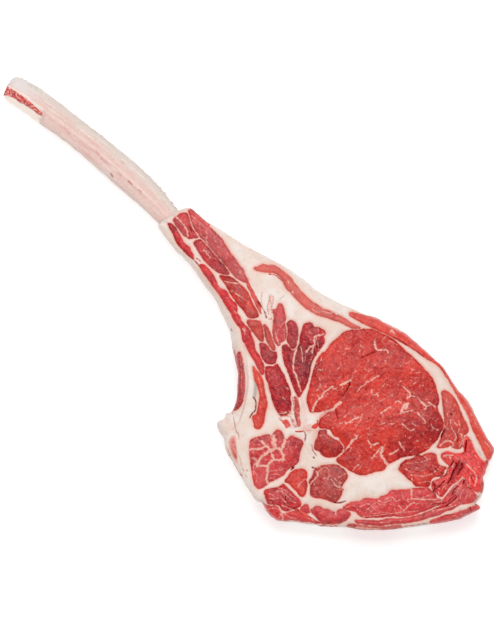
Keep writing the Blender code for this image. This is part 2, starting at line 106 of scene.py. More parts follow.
def ease(value, low, high):
    # 0 below low, 1 above high, smooth between
    t = np.clip((np.asarray(value, float) - low) / (high - low), 0, 1)
    return t * t * (3 - 2 * t)


def gapTo(spots, path, closed=False, reach=None):
    # distance of each place to a path, worked out only as far as the reach, if one is given
    path = np.asarray(path, float)
    ends = np.roll(path, -1, axis=0) if closed else path[1:]
    best = np.full(len(spots), farAway)
    near = np.arange(len(spots))
    if reach is not None:
        low, high = path.min(0) - reach, path.max(0) + reach
        near = np.nonzero(np.all((spots > low) & (spots < high), axis=1))[0]
    close = spots[near]
    found = best[near]
    for start, end in zip(path[:len(ends)], ends):
        along = end - start
        t = np.clip(((close - start) @ along) / max(along @ along, 1e-12), 0, 1)
        away = close - start - t[:, None] * along
        found = np.minimum(found, np.hypot(away[:, 0], away[:, 1]))
    best[near] = found
    return best


def insideOf(spots, loop):
    # which places lie in a closed outline
    hit = np.zeros(len(spots), bool)
    low, high = loop.min(0), loop.max(0)
    near = np.nonzero(np.all((spots > low) & (spots < high), axis=1))[0]
    x, y = spots[near, 0], spots[near, 1]
    found = np.zeros(len(near), bool)
    for a, b in zip(loop, np.roll(loop, -1, axis=0)):
        if a[1] == b[1]:
            continue
        crossing = (a[1] > y) != (b[1] > y)
        found ^= crossing & (x < a[0] + (y - a[1]) * (b[0] - a[0]) / (b[1] - a[1]))
    hit[near] = found
    return hit


def splineAt(a, b, c, d, t):
    # the smooth curve through four points, from b at t = 0 to c at t = 1
    return 0.5 * (2 * b + (c - a) * t + (2 * a - 5 * b + 4 * c - d) * t ** 2
                  + (3 * b - a - 3 * c + d) * t ** 3)


def smoothPath(points, spacing, closed=True):
    # evenly spaced points on a smooth curve through the given ones
    knots = np.reshape(points, (-1, 2)).astype(float)
    if not closed:
        knots = np.vstack((2 * knots[0] - knots[1], knots, 2 * knots[-1] - knots[-2]))
    count = len(knots)
    t = np.arange(10)[:, None] / 10
    fine = []
    for i in range(count if closed else count - 3):
        i += 0 if closed else 1
        a, b, c, d = (knots[(i + k) % count] for k in (-1, 0, 1, 2))
        fine.append(splineAt(a, b, c, d, t))
    fine = np.vstack(fine + [fine[0][:1] if closed else knots[-2:-1]])
    walked = np.concatenate(([0], np.cumsum(np.hypot(*np.diff(fine, axis=0).T))))
    count = max(3, round(walked[-1] / spacing))
    marks = np.linspace(0, walked[-1], count + 1)
    if closed:
        marks = marks[:-1]
    return np.column_stack([np.interp(marks, walked, fine[:, k]) for k in (0, 1)])


def sideways(loop):
    # the direction across a closed outline at each of its points
    ahead = np.roll(loop, -1, axis=0) - np.roll(loop, 1, axis=0)
    ahead /= np.maximum(np.hypot(*ahead.T), 1e-9)[:, None]
    return np.column_stack((ahead[:, 1], -ahead[:, 0]))


def roughen(loop, amounts):
    # push an outline in and out by soft noise: a list of (lump size, how far)
    push = sum(far * softNoise(loop, lump, 3.1) for lump, far in amounts)
    return loop + sideways(loop) * push[:, None]


# The slab of meat and fat
slab = {
    "thickness": 0.0485,        # at the broad part
    "neckThickness": 0.038,     # where the rib comes out
    "neckFrom": -0.062, "neckTo": 0.003,
    "shoulder": 0.0062, "neckShoulder": 0.0038, "foot": 0.005,   # rounded edges
    "swell": 0.0008,            # slow waves of the upper face
    "crown": 0.0012, "crownReach": 0.006,    # muscles stand a little above the fat
    "seamDip": 0.0005, "seamWidth": 0.0009,
    "leanLumps": ((2.4, 0.00016), (6.5, 0.00022)),      # lump size in units, height
    "fatLumps": ((4.0, 0.00010), (13.0, 0.00035)), "lumpsFrom": 0.0008,
    "bulge": 0.0008,            # how far the sides swell out half way up
    "wallRows": 22,
    "leanSpacing": 0.58, "fatSpacing": 0.95,    # mesh size in units
    "jitter": 0.13, "clearing": 0.45,           # shares of that size
    "outlineSpacing": 0.95, "seamSpacing": 0.7, "veinSpacing": 0.6,
    "seamRoughness": ((1.7, 0.20), (3.4, 0.26)),
    "letOut": 0.75, "thinnestSeam": 0.8,        # how far muscles grow, and what stays between
    "edgeRoughness": ((3.0, 0.30), (9.0, 0.20)),
    "pocketDepth": 0.0036,      # thin muscles over the buried rib
}

# Outlines, each a run of x, y, x, y in drawing units
meatOutline = (
    158.5, 224, 163, 233, 169, 241, 175, 248, 190, 262, 205, 282, 218, 301, 230, 326, 235, 349, 238, 371,
    237.5, 392, 235.5, 404, 232, 411, 228.5, 413.2, 226, 413.6, 223.5, 419, 217.5, 423, 218.5, 430,
    222.3, 436, 224.3, 441, 225.6, 449, 229, 456, 232.5, 461, 238, 471, 244, 481.5, 250, 490.5,
    256, 499.5, 259.5, 501.3, 262.5, 502, 266.5, 508.5, 271, 514.8, 277, 519.3, 283, 521, 290, 521.6,
    297, 522.4, 305, 524, 318, 525.6, 322, 526.6, 337, 526.9, 348, 527.2, 360, 529.4, 372, 530,
    390, 529.6, 404, 527.6, 416, 526.3, 430, 523.7, 444, 521.3, 458, 518.5, 464, 515.7, 471, 512.6,
    479.3, 508.6, 478, 506, 474.5, 504.8, 475.6, 501.6, 479.3, 498.2, 481.8, 493.6, 483.6, 488.2,
    483.9, 483, 482.8, 478, 485, 472.5, 486.6, 467.2, 489, 461.2, 491.8, 456, 493.2, 449, 488, 440.5,
    482, 430, 476, 418.5, 470, 407, 463.5, 397, 457, 390, 450.5, 379.5, 444, 369.3, 434.5, 359.5,
    421, 348, 412, 339.7, 403, 333, 391, 326.8, 385, 323.7, 379, 320.1, 372, 317, 364, 314, 352, 308.7,
    340, 303.5, 329, 297.8, 316, 291, 300, 279, 283, 266.5, 264, 256, 244, 244.5, 225, 232, 207, 221,
    198, 213.5, 190, 207.5, 180, 209, 169, 216,
)

# Muscles that run down to the underside: redness from -1 for dark burgundy to 1 for bright
# red, paleness, then the outline
throughMuscles = {
    "eye": (0.2, 0,
        346, 332, 351, 330.8, 357, 330, 363, 329.6, 369, 329.3, 375, 330.3, 380, 332.8, 386, 335.3,
        391, 338.3, 396, 342.3, 404, 350.3, 409, 354.5, 417, 362.2, 421, 366, 425, 370.8, 429, 374.8,
        432, 379, 434.5, 384.5, 436.3, 391, 438, 398, 437.8, 403.5, 436.5, 407, 438.3, 413, 441, 418,
        442.8, 424, 442.2, 428.3, 439.5, 432.3, 438, 437, 435, 441, 431, 444.8, 427.5, 448.6, 419, 453.3,
        410, 455.2, 406, 455.8, 401, 457.3, 398, 458.4, 393.5, 460.6, 390, 462.4, 387, 464.2,
        385.3, 466.5, 384, 468.7, 381, 470.2, 375, 471, 370, 472.9, 363.5, 474.4, 358, 473.7,
        353.5, 471.6, 349, 469.6, 345.3, 466.9, 340.7, 464, 336.8, 460.7, 338.3, 457.6, 341.7, 455,
        344.2, 451.5, 345, 446.8, 343.2, 443, 340.3, 439.6, 339.3, 436.7, 334.8, 436, 332.8, 433.5,
        331, 429.6, 326.3, 428.3, 320.5, 428.5, 319.3, 425.8, 319.8, 420.3, 321.7, 415.8, 325, 413.5,
        329.5, 410.8, 326, 410.3, 321, 411, 315.5, 411.7, 310.5, 411.2, 308.8, 406.5, 307.3, 400.3,
        308.2, 394.5, 309.7, 388, 311.5, 380, 313.5, 372, 315.8, 364.8, 318.3, 359, 322, 354, 325.3, 352,
        328, 348.5, 331, 344.3, 334.5, 341.3, 338, 338.5, 342, 334.8),
    "inner_corner": (-0.5, 0.05,
        319.8, 430.2, 323, 429.7, 325.5, 430.6, 326.5, 434, 330, 437.2, 334.4, 439.8, 338.5, 441.9,
        341.4, 445.5, 342.3, 448.6, 341, 452, 338, 454.8, 334, 456.4, 329.8, 457, 325.3, 456.4,
        321.6, 454, 320, 450.8, 315.5, 449, 314.8, 445.5, 316.2, 441, 318, 436.5, 318.8, 432.5),
    "upper_strip": (0.7, 0.34,
        254.2, 268.3, 258.3, 267, 262.5, 265, 266.7, 265.6, 273.3, 265.8, 277.5, 268.1, 281.7, 270.8,
        285.8, 274, 290, 277.5, 292.7, 281.6, 296.7, 286.5, 300, 290.7, 304.2, 295, 308.3, 299.1,
        312.5, 302.5, 318.3, 306.3, 322.5, 309, 327, 310.5, 331, 312, 334, 314.2, 335.4, 316.2,
        338, 315.8, 341.5, 317.5, 346, 320, 350, 323, 354, 325.4, 358, 327.2, 360.5, 328.2, 357, 328.6,
        352, 327.8, 346, 325, 340, 321.8, 333, 319.6, 326, 317.1, 318, 315, 310, 310.4, 305, 307,
        300, 302.2, 295, 297.2, 290.8, 292.2, 286.7, 288, 284.2, 283.3, 281, 277.6, 275, 272.9,
        265, 271.8, 258.3, 270.9),
    "outer_strip": (1, 0.12,
        350.2, 313, 353, 312.7, 358, 314.1, 362, 315.4, 366, 316.4, 371, 315.3, 378, 317.3, 396, 325.5,
        412, 335.5, 428, 349, 441, 361, 450, 370.5, 458, 381, 472, 402, 484, 425, 497, 444, 497, 457,
        489, 459.3, 486.3, 457.3, 484.3, 452.7, 481.7, 446.7, 479, 441, 476.3, 436, 473.3, 430, 471, 424,
        469, 418, 466.3, 411.7, 463, 405.7, 460, 400, 457, 394.7, 454, 389.3, 451.2, 384.5, 448.7, 380,
        445.6, 375.4, 442.4, 370.6, 439.2, 366.6, 435.5, 363.3, 430, 360.3, 425, 357.4, 420, 353.4,
        416, 350.6, 410, 347, 405, 344, 399, 340.5, 392, 337, 388, 335, 384, 333.3, 380, 331.6,
        375, 328.7, 370, 326.5, 365, 324.1, 360, 321.5, 355, 318.6, 350.5, 315.7),
    "cap": (0.62, 0.11,
        441.9, 392.3, 444.5, 390.9, 447.5, 392.2, 451, 395, 454.3, 399.3, 457, 404.5, 459.3, 410,
        461.5, 416, 464.3, 421, 466.9, 426.5, 467.4, 431, 465.5, 433.6, 463, 435, 462.6, 438, 462.2, 443,
        460.3, 447.6, 456, 448.3, 453, 447.3, 450.5, 445, 447, 446.5, 442, 447.3, 437.5, 447.2,
        439, 443.3, 440.8, 438.5, 443.5, 431.8, 444.8, 425, 444.3, 417, 443.6, 410, 442.8, 402, 442, 396),
    "lower_centre": (0.35, 0.02,
        399, 469.3, 400, 466.7, 402.3, 463.3, 406.3, 460.7, 411.7, 459, 415, 457.3, 417.5, 456,
        421.7, 456.2, 425, 454.3, 430.3, 453.4, 434.6, 454.4, 436, 457, 436.8, 461.3, 438.9, 465.4,
        443.2, 466.9, 446, 467.6, 443.8, 469.7, 442.7, 473.3, 440.4, 475.6, 435, 476.4, 430.6, 478.8,
        429.1, 483.7, 427.3, 486.3, 420.3, 485.8, 417, 486.1, 415, 485.2, 412.3, 481.3, 408.3, 478.7,
        405.7, 476, 401, 471.3),
    "lower_right": (0.56, 0.05,
        441.3, 456, 443.2, 453.3, 447, 452, 451.7, 453.3, 456.3, 454, 461.7, 453.3, 464.3, 451.6,
        463.9, 447, 463.9, 441, 465.3, 436.6, 468, 438, 470.5, 442, 473.7, 450, 477, 455.3, 481, 460,
        485, 463, 486, 466.5, 483.6, 472.4, 480.6, 477.2, 479.8, 483, 480.4, 488.6, 478, 491.6,
        475, 490.5, 471.5, 487.5, 468, 483, 465, 478.5, 463, 476.5, 460.6, 477.3, 457, 480.7, 452, 483.8,
        448.8, 487, 445, 492, 441, 496.3, 437, 493, 432.3, 489, 431.8, 484.6, 433.8, 481.2, 437, 479.9,
        442.6, 478, 445.8, 475, 449.1, 469.5, 449.2, 465.2, 444.6, 461.3),
    "bottom_long": (0.72, 0.1,
        343.3, 508.3, 346.7, 505, 350.7, 502.7, 356.7, 501.7, 360.7, 501.5, 362, 499.7, 365.3, 498.7,
        370, 498.7, 374.7, 499.3, 378.7, 499, 380.7, 497, 385.3, 495.7, 388.7, 493.7, 390.7, 491,
        394.7, 490.7, 400, 490.3, 408, 489.7, 417, 488.2, 424, 488.3, 429.5, 489.3, 431.8, 491.6,
        434.6, 494.4, 436.2, 498.3, 440, 500.2, 440.6, 503.4, 435, 505.6, 429.5, 508.2, 423, 510.8,
        415, 513.5, 408, 515.5, 400, 516.1, 393, 515.5, 386.7, 516, 380, 516.7, 373, 516.7, 366.7, 517.2,
        361.3, 516.3, 358, 513.4, 354, 511),
    "bottom_layer": (0.56, 0.16,
        355, 520.6, 359, 520.3, 365, 520.4, 372, 520.7, 379, 520.9, 388, 518.9, 395, 518.7, 403.7, 518.4,
        411.7, 517, 420.3, 514.5, 429.7, 511.1, 436, 508.6, 441.8, 505.5, 442.3, 500.6, 446, 496.3,
        450, 491.3, 454, 486.7, 459, 483, 463.6, 479.2, 466.6, 484.3, 470.3, 489, 474, 492.6, 475.5, 497,
        472.7, 501.3, 466, 502.9, 459, 504.2, 452.3, 508.7, 445, 511, 438, 514.5, 432, 515.8,
        421.7, 519.3, 415, 520.7, 405, 522.3, 395, 522.9, 387, 524, 380, 525, 368, 524.4, 357.5, 522.4),
    "edge_strip": (0.79, 0.18,
        430.3, 522.6, 432.3, 520, 436.3, 518.8, 440.3, 517.2, 444.3, 515.5, 450.3, 514.9, 455, 513,
        460.3, 511.6, 465.7, 510, 470, 507.7, 474, 506.5, 482, 504, 484, 510, 470, 516.5, 458, 521.5,
        450, 522.8, 445, 521.6, 441, 523.6, 434, 525.5),
    "bottom_short": (0.32, 0.12,
        310.7, 510, 313.3, 508.3, 317.3, 506.3, 320.7, 507.3, 322.7, 509, 328, 509.7, 331.3, 511.7,
        335.3, 512.3, 339.3, 509.7, 342.5, 509.6, 346.7, 511, 349.3, 512.3, 349.6, 515, 346.7, 518.6,
        342.7, 521.3, 338, 522.8, 329.3, 523.5, 322, 522.9, 318.7, 519, 314.7, 515),
    "bottom_small": (0.41, 0.08,
        301, 508.4, 302.5, 506.7, 304.5, 505, 307.3, 505.5, 308.8, 508.7, 309.4, 511.6, 306.7, 512.7,
        304, 511.3, 301.3, 510.2),
    "edge_layer": (0.2, 0.36,
        347.5, 525.3, 353, 524.3, 361, 525, 368, 526.4, 380, 527, 388, 526.4, 395, 525.3, 400, 525.8,
        402, 532, 384, 535, 362, 535, 350, 532),
    "dark_round": (-0.5, 0.11,
        319.3, 467.3, 324, 465.7, 330, 465, 337.3, 465.3, 340.2, 467.5, 343.3, 469.7, 346, 473,
        346.7, 476.3, 345.3, 480.3, 342.7, 483, 341.2, 486.5, 342.5, 489.3, 341.3, 492.3, 340, 496.3,
        338, 498.5, 336, 501, 333.3, 501.7, 329.3, 500.3, 325.3, 499, 320, 497.7, 315.3, 497, 311.3, 495,
        310.7, 491, 311, 486, 309.4, 481.6, 312.7, 476, 314.3, 471, 316.7, 469),
    "small_round": (0.4, 0,
        285.3, 481.5, 288, 477, 290.7, 473, 293.5, 471, 297, 469.9, 302.7, 469.5, 306, 472, 306.8, 476,
        305.5, 480, 307, 484.7, 305.7, 490, 304.5, 494.5, 302, 496.1, 298.9, 493.8, 296, 490, 292, 486,
        288.7, 483),
    "lower_left": (0.23, 0.04,
        264.3, 492, 266, 490, 270, 488.7, 275.3, 488, 280, 486.7, 282.7, 484.4, 284.7, 485, 287.3, 488,
        290, 490.7, 294, 494.7, 298, 498.7, 300.5, 502.7, 300, 505.2, 298, 506.7, 294.7, 508,
        291.3, 509.1, 287.3, 510.5, 283, 509.8, 281.3, 507.6, 278.9, 504.7, 274.7, 503.7, 270, 503.6,
        268, 503.2, 266.7, 499.3, 265.3, 495.3),
    "corner_strip": (0.79, 0.1,
        262.5, 503.2, 266.3, 505.4, 268.3, 505.6, 270.7, 506.4, 275.3, 506.2, 278.3, 508.7, 280, 512,
        282.7, 514.3, 289, 512.6, 294, 511.5, 298.7, 513.8, 304, 517.1, 310.7, 519.2, 313, 520.8,
        305, 521.2, 298.7, 520.3, 290, 519.3, 284.5, 520.5, 282, 523, 276, 523, 268, 518, 262, 510),
    "marbled": (0.28, 0.1,
        251, 441, 255, 438.3, 260, 437, 264, 435.5, 268, 435, 272, 436.5, 274.3, 432.7, 277.3, 430.5,
        280.5, 431.5, 282, 433.5, 284.5, 439.5, 287.5, 440, 290.7, 436.7, 294, 437.2, 298.7, 439.3,
        301.5, 440.7, 302.6, 444, 300.7, 448, 299.3, 453, 298.7, 457.5, 297.8, 461.5, 294, 465,
        290, 467.3, 285.5, 471, 284, 474, 280, 476.5, 274, 479.5, 269, 481.5, 266, 484.5, 262, 487,
        258, 488, 255.3, 485.3, 254, 481.3, 252.5, 472, 250.5, 458, 249.9, 449),
    "rib_side": (-0.1, 0,
        265.8, 368, 268.5, 367, 273.3, 366.9, 277, 364.3, 280, 370, 283.3, 375, 285.8, 380.8,
        288.3, 386.7, 290, 393.3, 289.6, 398.3, 290.6, 403.3, 290, 410.6, 286.7, 413.5, 280.8, 415,
        278.3, 411.7, 275, 406.7, 273.3, 401.7, 271.7, 395, 270, 390, 268.3, 383.3, 266.2, 377.5,
        265.4, 372.3),
    "inner_long": (0.7, 0.08,
        253.3, 366.9, 255.8, 369.6, 258.8, 374.2, 261.7, 378.3, 263.3, 384.2, 264.2, 391.7, 265.8, 398.3,
        266.7, 405.8, 265, 411.7, 264.2, 416.7, 263.3, 422.5, 260.8, 426.7, 258.3, 428.6, 255, 427.3,
        254.2, 423.3, 252.9, 416.7, 256.7, 414.2, 258.3, 409.2, 259.2, 403.3, 260, 396.7, 259.2, 390,
        256.7, 383.3, 255, 377.5),
    "inner_short": (-0.4, 0.06,
        260.3, 343.8, 265, 344.4, 268.3, 347.7, 272.5, 351.7, 275.8, 352.5, 276.5, 356.7, 275.6, 360,
        274.7, 363, 270.3, 363.6, 266.7, 363, 263.8, 359.5, 261.4, 355, 260.4, 348.3),
    "inner_thin": (-0.2, 0.2,
        264, 325.3, 266, 326, 269.2, 331.7, 270.8, 337.5, 273.3, 343.3, 274.8, 349.6, 272, 350,
        269.6, 345, 266.6, 340, 265.1, 333.3),
    "inner_small": (0, 0.14,
        248.3, 320.3, 253.3, 321, 259.6, 321.5, 261, 325, 262.6, 330, 263.2, 336.7, 263.2, 340.5,
        261.2, 341, 257.5, 337.5, 254.2, 332.5, 250.2, 328.1, 247.6, 323.3),
    "upper_rib": (-0.15, 0.08,
        220.3, 275.6, 225, 276.4, 229, 277, 232.8, 278.5, 236.3, 281.8, 240.3, 285.2, 245.3, 290,
        249.2, 296, 252.6, 304.5, 256.9, 311.5, 258.1, 316.1, 253.3, 317.9, 248, 316.5, 243, 309,
        236, 301, 230.5, 293, 225.5, 284, 221.3, 278.5),
    "long_rib": (0.59, 0.06,
        200.3, 265.3, 203.5, 264.9, 206.7, 267.3, 209.7, 270.7, 213, 275.3, 215.6, 280.8, 217.8, 286,
        220, 288.8, 224.2, 290.6, 227.3, 293.3, 229.2, 297.5, 233, 301.5, 235.8, 305, 236.7, 310,
        236.3, 312.5, 239.2, 316.7, 241.7, 321.7, 245, 325.5, 249.4, 330, 250.6, 335, 253, 340,
        255.2, 350, 258.3, 355, 260.6, 359.4, 262.9, 364.6, 263.8, 368.5, 263.6, 373.7, 261.4, 374,
        259.7, 370.8, 256.7, 365.8, 255, 360.8, 251.7, 355.8, 248.3, 350, 245.8, 344.2, 243.3, 340,
        241.7, 331.7, 240, 327.5, 236.7, 323.3, 233.3, 318.3, 231.3, 313.3, 228, 308.3, 224.7, 303.3,
        221.4, 297.5, 217.7, 292, 214.3, 287.5, 210.8, 282.5, 207, 277.5, 203.5, 272.5, 201.3, 268.5),
    "side_strip": (-0.31, 0.12,
        239, 352.3, 240.8, 356.5, 242.5, 364.2, 243.8, 373.3, 244.2, 381.7, 244.2, 390, 243.3, 396.7,
        241.7, 402.5, 239.2, 406.7, 236, 409.3, 233, 407, 233, 380, 235, 362),
    "fan_left": (0.14, 0.2,
        279.2, 304.2, 281.7, 305, 283.3, 308.3, 284.2, 313.3, 285.4, 318.3, 284.6, 323.3, 285.4, 328,
        286, 333.3, 285.2, 338.3, 283.3, 340.6, 280, 342.5, 279.2, 345.6, 276.7, 344, 274.2, 339.2,
        273.3, 333.3, 273.3, 325.8, 274.2, 320, 275.4, 315, 277.5, 307.5),
    "fan_centre": (-0.35, 0.12,
        287, 323.8, 290, 321.2, 293.3, 321.9, 295.8, 324.4, 297.1, 328.3, 297.5, 334.2, 297.1, 340,
        295.8, 345.6, 294.2, 348.1, 291.9, 347.8, 288.5, 343, 287.2, 339, 288, 335, 288, 328.3),
    "fan": (-0.22, 0.02,
        304.2, 325, 308.3, 323.3, 311.7, 324.2, 314.2, 327.5, 319.2, 328.3, 323.3, 330.8, 325, 333.3,
        323.3, 336.5, 323.8, 341, 321.5, 346.5, 317, 352.5, 312.5, 360, 310, 366.7, 309.2, 373.3,
        307.5, 380, 305, 386.7, 302.5, 390.8, 299, 396.7, 296.7, 393.3, 294.2, 388.3, 291.7, 381.7,
        290, 375.8, 287.5, 369.2, 285, 363.3, 283.3, 356.7, 282.5, 347.5, 285, 345.3, 287.6, 346,
        291.3, 350.5, 296.3, 350.3, 299.8, 344, 300.2, 338, 302.5, 330),
}

# Thin muscles that lie over the buried rib
thinMuscles = {
    "neck_left": (0.32, 0.06,
        168.3, 223.5, 170.5, 223.8, 173, 225.2, 176, 229, 178.3, 233.3, 181.2, 238, 183.2, 242.7,
        186, 245.2, 189, 247.3, 190.2, 250.3, 192, 254, 193.6, 257.6, 192.5, 258, 189.7, 255.7, 186, 252,
        181, 246.7, 177.3, 242.2, 175.3, 238, 173.7, 233, 171.2, 228.5, 169, 225.5),
    "neck_centre": (0.28, 0.16,
        173.5, 219.3, 176, 217, 179.5, 214, 184, 212.8, 187, 213.3, 188.4, 218, 190, 224, 192.2, 229,
        195, 233, 197, 236, 196.9, 237.3, 193.5, 237.2, 189.3, 237.8, 186.3, 235.6, 184, 234.8, 181, 231,
        177.3, 226.3, 174.3, 222),
    "neck_outer": (0.5, 0.26,
        188.4, 210.7, 189.8, 209.6, 191.5, 209.3, 195, 212.7, 198.2, 215.8, 201.3, 218.6, 204.2, 221.9,
        208, 225.8, 212, 229.5, 216.2, 233.6, 220.3, 238, 223.5, 242.5, 227, 248, 230, 253, 233.5, 257.3,
        237, 262.2, 240.3, 267.3, 243.3, 270.3, 245, 276, 247.8, 280.8, 244.5, 281.8, 240.5, 279.8,
        236.8, 278, 233.3, 274.3, 229.5, 269.5, 225.5, 264, 220.5, 257.5, 216, 252.5, 211.5, 248,
        206.5, 243.3, 202, 238, 198, 232.5, 194.5, 227.8, 192, 222, 190.1, 215.5),
    "neck_inner": (0.05, 0.14,
        194, 242.3, 196.5, 240.3, 201.3, 239.8, 204, 243, 208, 247.3, 211, 251, 215, 255.3, 219, 260.3,
        223, 265.3, 227, 270.3, 229, 274, 226, 274.2, 220, 272.7, 214.5, 269.3, 209, 264.5, 204, 259,
        200, 253, 196.3, 247),
}

# Broad changes within the muscles: place, reach, change of redness, change of paleness
toneSpots = (
    (459, 466, 7, -0.55, 0), (435, 484, 7, -0.45, 0), (474, 447, 6, -0.2, 0.06),
    (256, 480, 9, 0.6, 0.06), (250, 448, 6, 0.4, 0.10), (262, 462, 8, -0.25, 0.0),
    (279, 455, 8, 0.25, 0.0), (284, 442, 6, 0.2, 0.04), (283, 497, 8, -0.2, 0.0),
    (204, 218, 9, 0.35, 0.05), (224, 262, 9, -0.35, -0.05), (214, 240, 8, -0.2, 0.0),
    (336, 478, 9, -0.2, 0.0), (322, 492, 8, 0.2, 0.02),
    (427, 420, 24, -0.40, 0.0), (405, 447, 18, -0.25, 0.0), (316, 372, 14, -0.15, 0.0),
    (372, 400, 20, 0.15, 0.0), (352, 430, 16, 0.2, 0.0), (390, 350, 22, -0.12, 0.0),
    (302, 352, 14, -0.6, -0.08), (296, 378, 12, -0.3, -0.05), (312, 336, 12, 0.25, 0.05),
    (430, 428, 22, -0.5, 0.0), (345, 352, 26, 0.15, 0.0), (440, 410, 14, -0.2, 0.0),
    (280, 400, 16, -0.3, 0.0), (478, 466, 8, 0.5, 0.0), (457, 469, 7, -0.5, 0.0),
    (450, 457, 6, -0.3, 0.0), (487, 452, 7, 0.3, 0.0), (436, 470, 7, -0.3, 0.0),
    (286, 452, 6, 0.3, 0.0), (291, 462, 9, -0.1, 0.0), (420, 462, 8, -0.2, 0.0),
)

